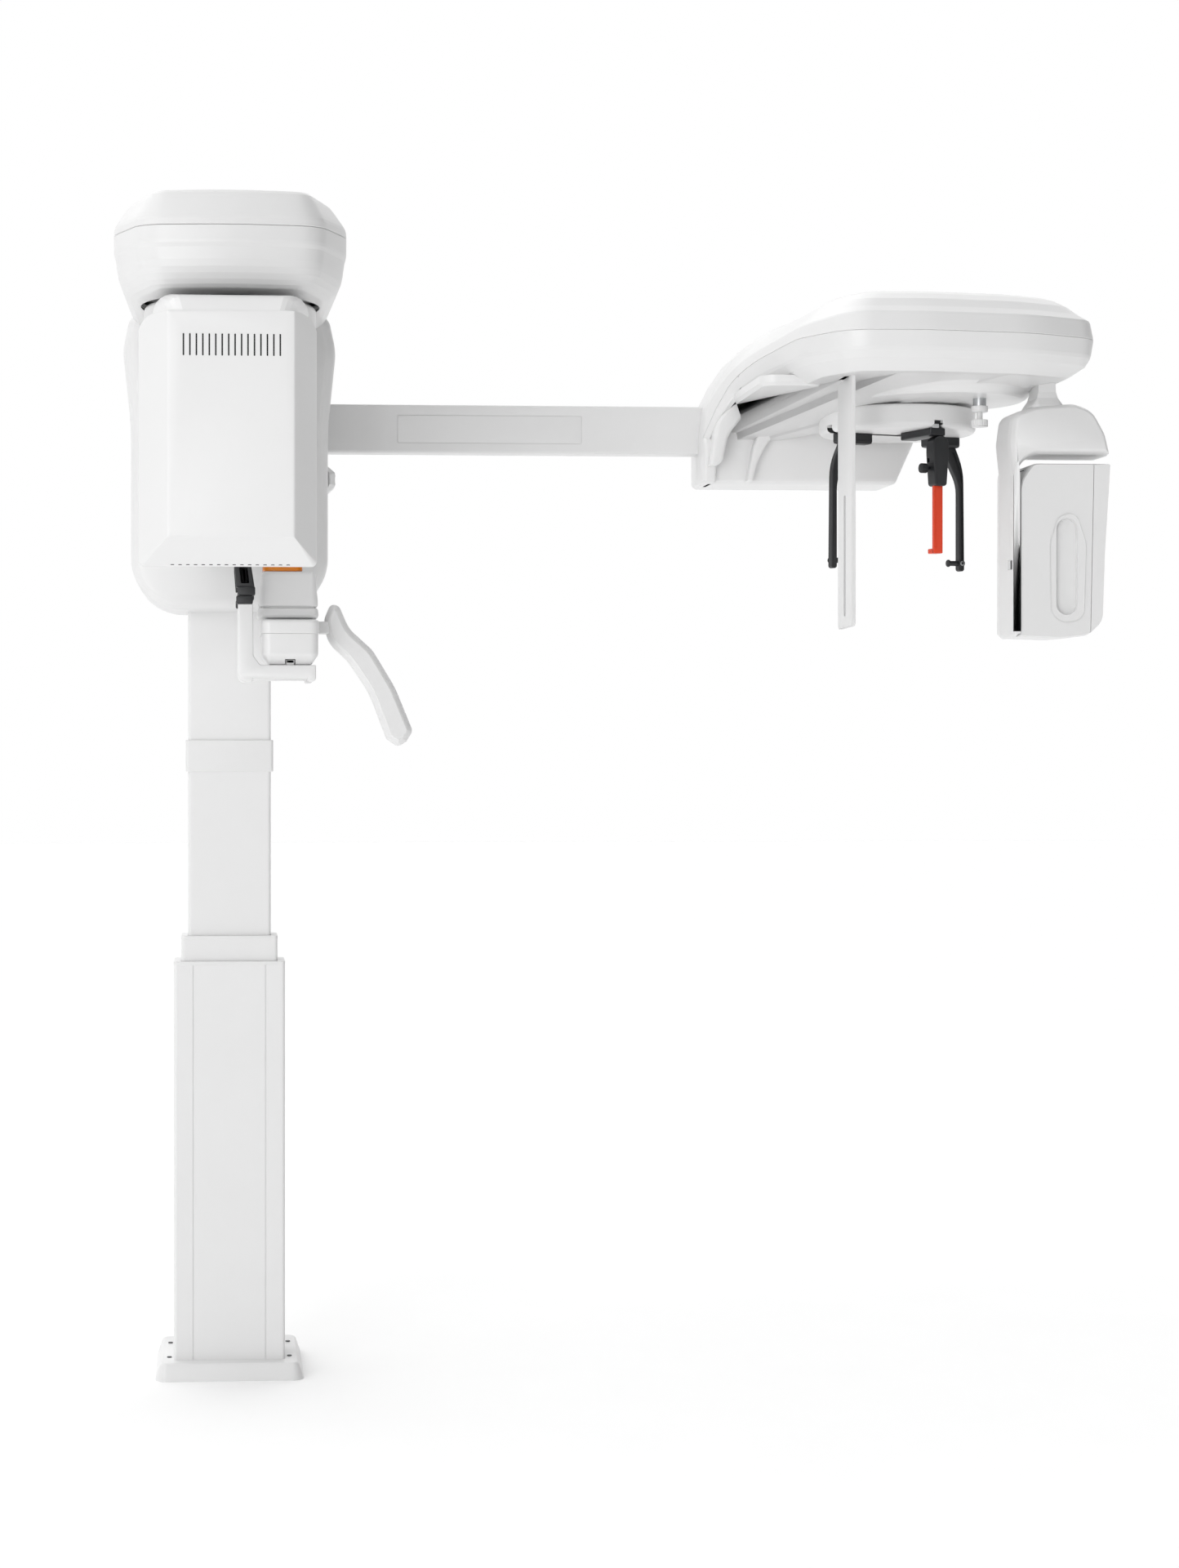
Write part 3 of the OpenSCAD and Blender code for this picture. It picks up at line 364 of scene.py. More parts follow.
# %% Collars
def collar(name, outer, inner, low, high, body):
    """A moulded ring round the inner profile at the end of the outer one."""
    x0, y0 = [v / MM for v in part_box(outer)[0][:2]]
    x1, y1 = [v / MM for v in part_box(outer)[1][:2]]
    u0, v0 = [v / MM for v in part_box(inner)[0][:2]]
    u1, v1 = [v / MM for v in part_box(inner)[1][:2]]
    ring = shell(box_corners(x0 - 0.4, y0 - 0.4, x1 + 0.4, y1 + 0.4, 6.4), soft_levels(low, high, 1.6, 3))
    hole = shell(box_corners(u0 - 0.6, v0 - 0.6, u1 + 0.6, v1 + 0.6, 6), [(low - 5, 0), (high + 5, 0)])
    piece(name, cut(ring, hole), body, white_abs, "white_shell", crease=40)


lower_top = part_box("lower_column")[1].z / MM
middle_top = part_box("middle_column")[1].z / MM
collar("lower_collar", "lower_column", "middle_column", lower_top - 6, lower_top + 1.5, "floor_stand")
collar("middle_collar", "middle_column", "inner_column", middle_top - 6, middle_top + 1.5, "middle_stage")

# %% Trim band
band_low, band_high = [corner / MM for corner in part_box("column_band")]
band = shell(box_corners(band_low.x, band_low.y, band_high.x, band_high.y, 6),
             soft_levels(band_low.z, band_high.z, 1.5, 3))
column_low, column_high = [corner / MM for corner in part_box("inner_column")]
band_hole = shell(box_corners(column_low.x + 0.2, column_low.y + 0.2, column_high.x - 0.2, column_high.y - 0.2, 5),
                  [(band_low.z - 5, 0), (band_high.z + 5, 0)])
piece("trim_band", cut(band, band_hole), "carriage", white_abs, "white_shell", "column_band", crease=40)

# %% [markdown]
# ## Carriage housing
# Two shells clasp the column. Seen from the front the housing is a tall rounded box, a little wider
# at its shoulders, with large round corners below. The front shell ends in a soft edge.

# %% Carriage housing
HOUSING = [(-184, 1450, 96), (184, 1450, 96), (184, 1790, 500), (199, 1934, 110), (184, 2006, 30),
           (-184, 2006, 30), (-199, 1934, 110), (-184, 1790, 500)]
housing_front, housing_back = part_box("carriage_front_cover")[0].y / MM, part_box("carriage_rear_cover")[1].y / MM
seam_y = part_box("carriage_front_cover")[1].y / MM
seam_line = shell(box_corners(-210, 1804, 210, 1805.4, 0), [(-10, 0), (260, 0)], STAND_UP)
inner_part = shell([(x * 0.992, z, r) for x, z, r in HOUSING], [(-200, 0), (-housing_front - 1.6, 0)], STAND_UP)
front_shell = shell(HOUSING, [(-seam_y, 1.2), (-seam_y + 1.2, 0)] + soft_levels(0, -housing_front, 26, 6)[7:], STAND_UP)
groove = cut(seam_line, inner_part)
piece("housing_front", cut(front_shell, groove), "carriage", white_abs, "white_shell", "carriage_front_cover", crease=35)
rear_shell = shell(HOUSING, [(-housing_back, 22), (-housing_back + 4, 11), (-housing_back + 12, 3),
                             (-housing_back + 22, 0), (-seam_y - 1.2, 0), (-seam_y, 1.2)], STAND_UP)
piece("housing_rear", rear_shell, "carriage", white_abs, "white_shell", "carriage_rear_cover", crease=35)

# %% [markdown]
# ## Canopy
# The canopy is a wide cap over the patient. Its plan has a bowed nose and soft corners, its side is
# slightly barrelled and draws in at the bottom, and a thin seam parts the lid. A round opening
# underneath lets the turning arm through.

# %% Canopy
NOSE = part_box("canopy_lower_cover")[0].y / MM
CANOPY = [(0, NOSE - 6, 520), (152, NOSE + 22, 66), (204, NOSE + 178, 190), (188, 76, 30),
          (-188, 76, 30), (-204, NOSE + 178, 190), (-152, NOSE + 22, 66)]
axis_y = -450
canopy_low = shell(CANOPY, [(1972, 46), (1973, 38), (1977, 29), (1984, 21), (1994, 14), (2006, 9.5), (2020, 6.5),
                            (2044, 3.4), (2052, 1.0), (2058, 0.3), (2085.6, 0), (2087, 1.2)])


def dip_nose(form):
    """Lets the seam and all below it hang a little lower at the nose."""
    for corner in form.verts:
        share = max(0, (-corner.co.y / MM - 420) / 300)
        lower = min(1, max(0, (corner.co.z / MM - 1990) / 97)) * min(1, max(0, (2136 - corner.co.z / MM) / 30))
        corner.co.z -= 15 * MM * min(1, share) * lower


dip_nose(canopy_low)
opening = shell([(158 * math.cos(math.radians(a)), axis_y + 158 * math.sin(math.radians(a)), 0)
                 for a in range(0, 360, 5)], [(1900, 0), (1990, 0)])
piece("canopy_shell", cut(canopy_low, opening), "carriage", white_abs, "white_shell",
      "canopy_lower_cover", crease=30)
canopy_lid = shell(CANOPY, [(2087.6, 1.2), (2089, 0), (2098, 0.6), (2104, 2.6), (2110, 6.6), (2127, 21),
                            (2133, 27), (2136.4, 33), (2138, 42)])
dip_nose(canopy_lid)
piece("canopy_lid", canopy_lid, "carriage", white_abs, "white_shell", "canopy_top_cover", crease=24)

# %% [markdown]
# ## Turning arm
# Under the canopy a low dome turns with the arm. The x-ray head hangs in front: a flat panel framed
# by slanting facets at its sides and bottom, with a row of upright vents. The sensor hangs behind.

# %% Dome and arm cover
dome = shell([(152 * math.cos(math.radians(a)), axis_y + 152 * math.sin(math.radians(a)), 0)
              for a in range(0, 360, 4)], soft_levels(1930, 1972, 9, 4, 0))
ramp = shell([(-904, 1880, 3), (-238, 1895.5, 8), (-238, 1942, 22), (-330, 1956, 60), (-560, 1963, 60), (-700, 1957, 200),
              (-850, 1934, 60), (-904, 1903, 10)], soft_levels(-134, 134, 30, 5), SEEN_FROM_SIDE)
for corner in ramp.verts:
    towards_head = max(0, (-corner.co.y / MM - 640) / 264)
    if corner.co.z > 1896 * MM:
        corner.co.z -= 12 * MM * towards_head * (abs(corner.co.x) / (134 * MM)) ** 4
    corner.co.x *= 1 - 0.25 * towards_head ** 1.5
piece("arm_cover", join(dome, ramp), "rotor", white_abs, "white_shell", "rotor_cover", crease=34)

# %% [markdown]
# The steel beam inside the turning arm keeps its section and gets a sloping nose, as a pressed
# channel has, so that it stays below the cover.

# %% Carrying beam
beam_low, beam_high = [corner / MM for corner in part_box("rotor_beam")]
beam = shell([(beam_low.y, beam_high.z - 12, 2), (beam_high.y, beam_high.z - 12, 2), (beam_high.y, beam_high.z, 2),
              (beam_low.y + 70, beam_high.z, 8), (beam_low.y, beam_high.z - 24, 4)],
             soft_levels(beam_low.x, beam_high.x, 2, 2), SEEN_FROM_SIDE)
brackets = [shell(box_corners(x, beam_low.y + 22, x + 8, beam_low.y + 118, 2), [(1880, 0), (1927, 0)]) for x in (-60, 52)]
drop_plate = shell(box_corners(-40, beam_high.y - 38, 40, beam_high.y - 30, 2), [(beam_low.z, 0), (1927, 0)])
piece("carrying_beam", join(beam, drop_plate, *brackets), "rotor", steel_zinc, "steel", "rotor_beam", crease=34)

# %% X-ray head
head_low, head_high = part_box("tubehead_cover")[0] / MM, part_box("tubehead_back_cover")[1] / MM
FACET = 44
HEAD_SIDES = (-151, 140)
HEAD_PLAN = box_corners(HEAD_SIDES[0], head_low.z, HEAD_SIDES[1], head_high.z + FACET + 2, 9)
front_y = -head_low.y
head = shell(HEAD_PLAN, [(-head_high.y, 7), (-head_high.y + 3, 2), (-head_high.y + 8, 0), (front_y - 70, 0),
                         (front_y - 66, 1.4), (front_y - 6, 38.6), (front_y - 2.4, 41.4), (front_y - 0.7, 43.4),
                         (front_y, 46)], STAND_UP)
for corner in head.verts:
    forward = -corner.co.y / MM - (front_y - 70)
    if forward > 0:
        corner.co.x += 5 * MM * forward / 70
    elif corner.co.z < 1520 * MM:
        corner.co.z += 14 * MM * min(1, -forward / 138)
crown = shell([(HEAD_SIDES[0] - 5, 1400, 0), (HEAD_SIDES[1] + 5, 1400, 0), (HEAD_SIDES[1] + 0.5, 1896, 30),
               (0, 1903, 900), (HEAD_SIDES[0] - 0.5, 1896, 30)], [(600, 0), (950, 0)], STAND_UP)
head = cut(head, crown, "INTERSECT")

# %% [markdown]
# The vents are real slots: sixteen upright ones near the top of the panel and a row of small ones
# along the bottom edge. The black screen behind them is painted shade: it stands for the dark inside
# of the head.

# %% Vents
VENT_PITCH = 10.4
# The black linings collected here are painted shade: they stand for the dark inside of the head behind the vents.
vent_cutters, vent_shade_linings = [], []
for i in range(16):
    x = (i - 7.5) * VENT_PITCH + 0.8
    vent_cutters.append(shell(box_corners(x - 1.3, 1825, x + 1.3, 1861, 1.2), [(front_y - 16, 0), (front_y + 5, 0)], STAND_UP))
    vent_shade_linings.append(shell(box_corners(x - 1.6, 1824, x + 1.6, 1862, 0), [(front_y - 18, 0), (front_y - 3, 0)], STAND_UP))
for i in range(16):
    x = (i - 7.5) * 12.6 - 1.5
    vent_cutters.append(shell(box_corners(x - 2.6, head_low.z - 3, x + 2.6, head_low.z + 3.4, 0),
                              [(front_y - 64, 0), (front_y - 40, 0)], STAND_UP))
    vent_shade_linings.append(shell(box_corners(x - 2.8, head_low.z + 2.2, x + 2.8, head_low.z + 6, 0),
                            [(front_y - 70, 0), (front_y - 63.5, 0)], STAND_UP))
head = cut(head, join(*vent_cutters))
piece("xray_head", head, "rotor", white_abs, "white_shell", "tubehead_cover", "tubehead_back_cover", crease=20)
# The black vent screen is painted shade for the dark inside of the head.
piece("painted_vent_shade", join(*vent_shade_linings), "rotor", black_nylon, "dark_plastic")

# %% Panoramic sensor
sensor_low, sensor_high = [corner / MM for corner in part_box("sensor_cover")]
pan_sensor = shell(box_corners(sensor_low.x, sensor_low.y, sensor_high.x, sensor_high.y, 14),
                   soft_levels(sensor_low.z, sensor_high.z + 8, 2, 4, 12))
piece("sensor_case", pan_sensor, "rotor", white_abs, "white_shell", "sensor_cover")
window = shell(box_corners(-55, 1580, 55, 1860, 6), soft_levels(-(sensor_low.y + 3), -(sensor_low.y - 1.2), 1, 2), STAND_UP)
piece("sensor_window", window, "rotor", grey_abs, "grey_plastic")

# %% [markdown]
# ## Patient support
# The chin rest stands on a small housing with a lid. Two white arms slide under it along the depth
# of the machine and carry the black temple posts. The side handle sweeps down to the right: a broad
# bar whose face is framed by two slanting facets.

# %% Chin rest
chin_low, chin_high = [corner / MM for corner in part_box("chin_housing")]
tub = shell(box_corners(chin_low.x + 2, chin_low.y + 2, chin_high.x - 2, chin_high.y - 2, 15),
            [(chin_low.z, 14), (chin_low.z + 1.5, 11), (chin_low.z + 15, 1.4), (chin_low.z + 19, 0.2),
             (chin_low.z + 22, 0), (chin_high.z - 25, 0), (chin_high.z - 24.6, 0.8)])
lid = shell(box_corners(chin_low.x, chin_low.y, chin_high.x, chin_high.y, 17),
            soft_levels(chin_high.z - 24.4, chin_high.z, 6, 4, 1.2))
groove_low, groove_high = 95, 113
groove = shell(box_corners(groove_low, chin_low.y - 5, groove_high, chin_high.y + 5, 0),
               [(chin_low.z - 3, 0), (chin_low.z + 10, 0)])
piece("chin_housing_shell", join(cut(tub, groove), lid), "carriage", white_abs, "white_shell", "chin_housing", crease=32)

block_low, block_high = [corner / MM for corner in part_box("chin_block")]
neck = shell(box_corners(block_low.x + 14, block_low.y + 14, block_high.x - 10, block_high.y - 14, 12),
             [(chin_high.z - 1, 0), (chin_high.z + 7, 0)])
piece("chin_neck", neck, "carriage", grey_abs, "grey_plastic")
lip = shell(box_corners(block_low.x, block_low.y, block_high.x, block_high.y, 14),
            [(1421, 4), (1422, 1.6), (1424.5, 0.3), (1426, 0), (1435, 0.8), (1437.4, 2.4), (1438, 7)])
rest = shell(box_corners(block_low.x + 2, block_low.y + 2, block_high.x, block_high.y - 2, 13),
             [(1437, 7), (1440.4, 7), (1441, 2.6), (1443, 1), (1452, 1.2), (1497, 5.5), (1500.5, 7), (1502.4, 9.6),
              (1503, 13)])
piece("chin_rest", join(lip, rest), "carriage", white_abs, "white_shell", "chin_block", crease=34)

# %% [markdown]
# The chin cup is a thin dish of amber acrylic with a hollow for the chin and a dark rubber bead.

# %% Chin cup
cup_low, cup_high = [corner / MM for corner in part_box("chin_cup")]
cup = shell(box_corners(cup_low.x, cup_low.y, cup_high.x, cup_high.y, 12),
            [(cup_low.z + 0.2, 2), (cup_low.z + 2, 0), (cup_high.z - 1.5, 0.4), (cup_high.z, 2)])
hollow = bmesh.new()
bmesh.ops.create_uvsphere(hollow, u_segments=40, v_segments=24, radius=46 * MM)
bmesh.ops.translate(hollow, verts=hollow.verts,
                    vec=Vector(((cup_low.x + cup_high.x) / 2, (cup_low.y + cup_high.y) / 2, cup_high.z + 38)) * MM)
piece("amber_cup", cut(cup, hollow), "carriage", amber_acrylic, "amber_plastic", "chin_cup")

# %% Temple arms and posts
def temple_support(end, y, inner_y):
    """One white arm with its tongue, and the black post that stands on it."""
    white = shell([(13, 1309, 13), (40, 1309, 4), (40, 1313, 0), (134, 1313, 0), (134, 1308, 3), (149, 1308, 7), (149, 1336.6, 2),
                   (52, 1336.6, 8), (40, 1352, 8), (39, 1443, 2), (13, 1443, 2)],
                  soft_levels(-y - 12, -y + 12, 3, 3), STAND_UP)
    low_y, high_y = sorted((y, inner_y))
    tongue = shell(box_corners(96, low_y, 112, high_y, 1), [(1341, 0), (1346, 0)])
    neck = shell(box_corners(97, low_y, 111, high_y, 1), [(1334, 0), (1345, 0)])
    body = "temple_front" if end == "front" else "temple_back"
    piece("temple_arm_" + end + "_shell", join(white, tongue, neck), body, white_abs, "white_shell",
          "temple_arm_" + end, crease=36)
    foot = shell(box_corners(10, 1443.2, 39, 1457.6, 3), soft_levels(-y - 12, -y + 12, 1.5, 2), STAND_UP)
    step = shell(box_corners(13, 1458, 43, 1473.4, 3), soft_levels(-y - 12, -y + 12, 1.5, 2), STAND_UP)
    post = shell([(10, 1472, 1), (42, 1472, 1), (36, 1510, 30), (31, 1660, 9), (9, 1660, 9), (7, 1510, 30)],
                 soft_levels(-y - 9, -y + 9, 2.5, 3), STAND_UP)
    flute = shell([(17, 1478, 3), (34, 1478, 3), (30, 1510, 20), (25, 1640, 4), (15, 1640, 4), (14, 1510, 20)],
                  [(-y + 6.5, 1.5), (-y + 12, 0)], STAND_UP)
    towards = 1 if end == "front" else -1
    pad = shell([(19.5 + 14 * math.cos(math.radians(a)), 1630 + 14 * math.sin(math.radians(a)), 0)
                 for a in range(0, 360, 12)],
                soft_levels(*sorted((-y - towards * 8, -y - towards * 17)), 2.5, 3), STAND_UP)
    piece("temple_post_" + end + "_shell", join(cut(post, flute), foot, step, pad), body, black_nylon,
          "dark_plastic", "temple_post_" + end, crease=36)


temple_support("front", -535, -480)
temple_support("back", -365, -420)

# %% [markdown]
# The handle is drawn as one outline with generous roundings. Its two faces are smaller than its
# middle, which leaves a slanting facet all the way round, broad on the inside of the sweep.

# %% Side handle
HANDLE = [(177, 1446, 10), (192, 1446, 14), (210, 1404, 60), (252, 1366, 60), (292, 1300, 160),
          (324, 1222, 14), (312, 1203, 8), (297, 1194, 10), (277, 1208, 12), (246, 1290, 160), (208, 1346, 90),
          (172, 1380, 50), (166, 1420, 30)]
handle_front, handle_back = [-corner.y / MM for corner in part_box("patient_handle")]
handle = shell(HANDLE, [(handle_back, 9), (handle_back + 1.5, 6), (handle_back + 10, 1), (handle_back + 14, 0),
                        (handle_front - 15, 0), (handle_front - 12, 1), (handle_front - 2.2, 7.5),
                        (handle_front, 10.5)], STAND_UP)
link = shell(box_corners(148, 1394, 176, 1416, 5), soft_levels(434, 468, 3, 3), STAND_UP)
piece("side_handle", join(handle, link), "carriage", white_abs, "white_shell", "patient_handle", crease=26)

# %% [markdown]
# The boom that carries the chin rest is a square tube bent up into the housing. Its edges are
# rounded like those of any drawn tube.

# %% Boom
arm_low, arm_high = [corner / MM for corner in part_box("patient_arm")]
boom = shell([(arm_low.y, arm_low.z, 4), (-100, arm_low.z, 16), (-100, 1600, 4), (-140, 1600, 4), (-140, 1405, 10),
              (arm_low.y, 1405, 4)], soft_levels(arm_low.x, arm_high.x, 3, 3), SEEN_FROM_SIDE)
piece("boom", boom, "carriage", powder_coat, "arm_paint", "patient_arm")

# %% [markdown]
# ## Controls on the housing
# A small faceted pod on the right-hand side holds the rocker that sends the carriage up and down.

# %% Control pod
pod_low, pod_high = [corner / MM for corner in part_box("control_pod")]
pod_form = shell([(pod_low.x - 6, pod_low.z, 0), (pod_high.x, pod_low.z + 17, 5), (pod_high.x, pod_high.z - 17, 5),
                  (pod_low.x - 6, pod_high.z, 0)],
                 [(-pod_high.y, 9), (-pod_high.y + 14, 0), (-pod_low.y - 14, 0), (-pod_low.y, 9)], STAND_UP)
rock_low, rock_high = [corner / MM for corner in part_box("height_rocker")]
well = shell(box_corners(rock_low.y - 0.5, rock_low.z - 1, rock_high.y + 0.5, rock_high.z + 1, 2),
             [(rock_low.x - 1.5, 0), (rock_high.x + 30, 0)], SEEN_FROM_SIDE)
piece("control_pod_shell", cut(pod_form, well), "carriage", white_abs, "white_shell", "control_pod", crease=20)
middle_z = (rock_low.z + rock_high.z) / 2
rocker = shell([(rock_low.x, rock_low.z, 1), (rock_high.x, rock_low.z, 1.5), (rock_high.x - 1.2, middle_z, 30),
                (rock_high.x, rock_high.z, 1.5), (rock_low.x, rock_high.z, 1)],
               soft_levels(-rock_high.y, -rock_low.y, 1, 2), STAND_UP)
piece("rocker_cap", rocker, "rocker", grey_abs, "grey_plastic", "height_rocker")

# %% [markdown]
# ## Side arm
# A drawn aluminium tube with rounded edges joins the two heads. A thin cover plate is let into its
# front face.

# %% Side arm
tube_low, tube_high = [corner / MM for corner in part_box("ceph_arm")]
tube = shell(box_corners(tube_low.y, tube_low.z, tube_high.y, tube_high.z, 5), [(tube_low.x, 0), (tube_high.x, 0)],
             SEEN_FROM_SIDE)
rim = shell(box_corners(323, 1779.5, 681, 1834, 3), [(-tube_low.y - 0.9, 0), (-tube_low.y + 5, 0)], STAND_UP)
piece("side_arm_tube", cut(tube, rim), "carriage", side_arm_coat, "arm_paint", "ceph_arm", crease=40)
plate = shell(box_corners(324, 1780.5, 680, 1833, 2.5), soft_levels(-tube_low.y - 0.8, -tube_low.y + 0.1, 0.3, 2), STAND_UP)
piece("side_arm_plate", plate, "carriage", side_arm_coat, "arm_paint")
clip = shell(box_corners(927, 1741, 937, 1760, 1.5), soft_levels(12, 26, 1, 2), STAND_UP)
piece("side_arm_clip", clip, "carriage", black_nylon, "dark_plastic")

# %% [markdown]
# ## Head of the side arm
# The second canopy is a shallow lens with a bowed front. On the left it falls away in one sweep
# to the wall that takes the side arm. It is drawn level by level like the first canopy, then the
# points near the left end are lowered along a parabola.

# %% Side canopy
LENS = [(908, -84, 14), (958, -160, 110), (988, -320, 300), (1004, -520, 110), (1066, -642, 80), (1205, -648, 420),
        (1400, -617, 260), (1536, -548, 66), (1541, -190, 70), (1392, 58, 90), (908, 58, 14)]
RIM_Z, SEAM_Z, ROOF_Z = 1850, 1917, 2000
LENS_MIDDLE = (1270, -330)


def crowned(form, levels, below=False):
    """Goes on from the top or bottom face towards the middle of the lens: (height, scale) for each level."""
    sign = -1 if below else 1
    end = max(form.faces, key=lambda face: (round(sign * face.calc_center_median().z, 5), face.calc_area()))
    for level, factor in levels:
        grown = bmesh.ops.extrude_face_region(form, geom=[end])["geom"]
        end = [part for part in grown if isinstance(part, bmesh.types.BMFace)][0]
        for corner in end.verts:
            corner.co.x = LENS_MIDDLE[0] * MM + (corner.co.x - LENS_MIDDLE[0] * MM) * factor
            corner.co.y = LENS_MIDDLE[1] * MM + (corner.co.y - LENS_MIDDLE[1] * MM) * factor
            corner.co.z = level * MM


def sweep_down(form):
    """Lowers the left end: the seam and the rim by up to 125 mm, and the roof from further in."""
    for corner in form.verts:
        x, z = corner.co.x / MM, corner.co.z / MM
        at_seam = 125 * max(0.0, (1000 - x) / 90) ** 2.2
        at_roof = 95 * max(0.0, (1104 - x) / 194) ** 2
        share = min(1.0, max(0.0, (z - SEAM_Z) / (ROOF_Z - SEAM_Z)))
        corner.co.z -= (at_seam * (1 - share) + at_roof * share) * MM


def finely(corners, longest=40):
    """The rounded plan as plain points, with more of them where it is straight, so that a sweep bends smoothly."""
    points = plan_ring(corners)
    fine = []
    for i, point in enumerate(points):
        ahead = points[(i + 1) % len(points)] - point
        parts = max(1, math.ceil(ahead.length / longest))
        fine += [(point.x + ahead.x * k / parts, point.y + ahead.y * k / parts, 0) for k in range(parts)]
    return fine


lens_plan = finely(LENS)
lens_low = shell(lens_plan, [(RIM_Z, 50), (RIM_Z + 1, 45), (RIM_Z + 5, 38), (RIM_Z + 20, 15), (RIM_Z + 33, 6.4),
                             (RIM_Z + 39, 4.4), (SEAM_Z - 1.6, 0), (SEAM_Z - 0.6, 0.6)])
crowned(lens_low, [(RIM_Z + 2, 0.98), (RIM_Z + 7, 0.94), (RIM_Z + 9, 0.92)], below=True)
crowned(lens_low, [(SEAM_Z - 8, 0.8)])
for corner in lens_low.verts:
    if corner.co.y > -5 * MM:
        corner.co.y = 58 * MM - (58 * MM - corner.co.y) * 0.12
sweep_down(lens_low)
POD = (1300, -336)
pod_ring = [(POD[0] + 196 * math.cos(math.radians(a)), POD[1] + 196 * math.sin(math.radians(a)), 0)
            for a in range(0, 360, 4)]
pod_low_z = 1826
pod_form = shell(pod_ring, [(pod_low_z + 2, 42), (pod_low_z + 5, 36), (pod_low_z + 10, 31), (pod_low_z + 14, 26),
                            (pod_low_z + 20, 12), (RIM_Z + 4, 0), (RIM_Z + 12, 0)])
piece("side_canopy_shell", join(lens_low, pod_form), "carriage", white_abs, "white_shell", "ceph_lower_cover", crease=26)
lens_lid = shell(lens_plan, [(SEAM_Z - 0.2, 0.6), (SEAM_Z + 1, 0), (SEAM_Z + 5, 0.8), (SEAM_Z + 29, 5.5), (SEAM_Z + 33, 7.5),
                             (SEAM_Z + 36, 12)])
crowned(lens_lid, [(SEAM_Z + 8, 0.8)], below=True)
crowned(lens_lid, [(1962, 0.955), (1978, 0.93), (1990, 0.92), (1996, 0.93), (1999.4, 0.9), (2000, 0.75)])
sweep_down(lens_lid)
piece("side_canopy_lid", lens_lid, "carriage", white_abs, "white_shell", "ceph_top_cover", crease=24)

# %% [markdown]
# Below the left end a deep web comes down behind the head holder. Its front is a large cove that
# runs up and forward under the lens. A rib and the outer wall stand a little proud of it.

# %% Web
def cove(x0, x1, face_y, foot_z, reach, radius, soft):
    """A slab across x whose front is flat at face_y and then curls forward to reach under the lens."""
    return shell([(58, foot_z, 10), (face_y, foot_z, 12), (face_y - 4, 1800, 10), (face_y - 14, 1852, radius),
                  (reach, 1853, 0), (reach, 1862, 0), (58, 1862, 2)], soft_levels(x0, x1, soft, 3), SEEN_FROM_SIDE)


web_low, web_high = [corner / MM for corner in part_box("ceph_rear_web")]
LEFT = LENS[0][0]
back_wall = shell([(LEFT, web_low.z, 12), (1284, web_low.z, 14), (1322, 1784, 60), (1336, 1866, 0), (984, 1866, 0), (LEFT, 1786, 30)],
                  [(-58, 3), (-55, 0), (-web_low.y - 12, 0), (-web_low.y - 6, 2), (-web_low.y - 1.5, 6), (-web_low.y, 11)],
                  STAND_UP)
curl = shell([(-64, 1864, 0), (-66, 1790, 60), (-104, 1846, 40), (-196, 1858, 0), (-196, 1864, 0)], soft_levels(968, 1330, 2, 2),
             SEEN_FROM_SIDE)
outer_wall = shell([(0, web_low.z, 6), (-92, web_low.z, 10), (-100, 1740, 80), (-120, 1786, 60), (0, 1800, 0)],
                   soft_levels(LEFT, LEFT + 24, 6, 4), SEEN_FROM_SIDE)
cheek = shell([(LEFT + 6, 1730, 0), (LEFT + 30, 1730, 20), (LEFT + 42, 1790, 60), (LEFT + 84, 1840, 60), (LEFT + 84, 1862, 0),
               (LEFT + 60, 1862, 20), (LEFT + 18, 1812, 60)], soft_levels(60, 128, 8, 4), STAND_UP)
corner_fill = shell(box_corners(958, -420, 1078, -60, 30), [(1847, 6), (1853, 0), (1866, 0)])
rib = shell([(990, 1703, 2), (1001, 1703, 2), (1011, 1742, 80), (1031, 1780, 90), (1066, 1810, 90), (1105, 1827, 60),
             (1210, 1842, 0), (1210, 1864, 0), (1048, 1864, 20), (1018, 1812, 90), (1001, 1765, 90)],
            soft_levels(70, 104, 5, 4), STAND_UP)
piece("side_web", join(back_wall, curl, outer_wall, cheek, corner_fill, rib), "carriage", white_abs, "white_shell", "ceph_rear_web", crease=36)

# %% [markdown]
# ## Head holder
# A thick disc turns under the pod. Two black ear arms slide in its cross groove, curve outwards and
# hang straight down to their ear plugs. The black forehead support slides in the third arm of the
# groove and holds the red bar.

# %% Turning disc
HOLDER_AT = Vector((1250, -230, 0)) * MM
HOLDER_TURN = Matrix.Translation(HOLDER_AT) @ Matrix.Rotation(math.radians(18), 4, "Z")


def circle_corners(x, y, radius, step=4):
    """A circle as plain corners."""
    return [(x + radius * math.cos(math.radians(a)), y + radius * math.sin(math.radians(a)), 0) for a in range(0, 360, step)]


def in_holder(form):
    """Moves a form from the holder's own frame to its place."""
    bmesh.ops.transform(form, matrix=HOLDER_TURN, verts=form.verts)
    return form


disc_low, disc_high = [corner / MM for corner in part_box("cephalostat_disc")]
disc = shell(circle_corners(0, 0, 145, 3), soft_levels(disc_low.z, disc_low.z + 44, 5, 4, 10))
cross_groove = shell(box_corners(-150, -9, 150, 9, 0), [(disc_low.z - 2, 0), (disc_low.z + 14, 0)])
front_groove = shell(box_corners(-9, -150, 9, -12, 0), [(disc_low.z - 2, 0), (disc_low.z + 14.2, 0)])
disc = cut(cut(disc, cross_groove), front_groove)
hub = shell(circle_corners(0, 0, 40, 6), [(disc_low.z + 38, 0), (disc_high.z, 0)])
piece("turning_disc", in_holder(join(disc, hub)), "head_holder", white_abs, "white_shell", "cephalostat_disc", crease=30)

# %% Ear arms
EAR_TOP = disc_low.z


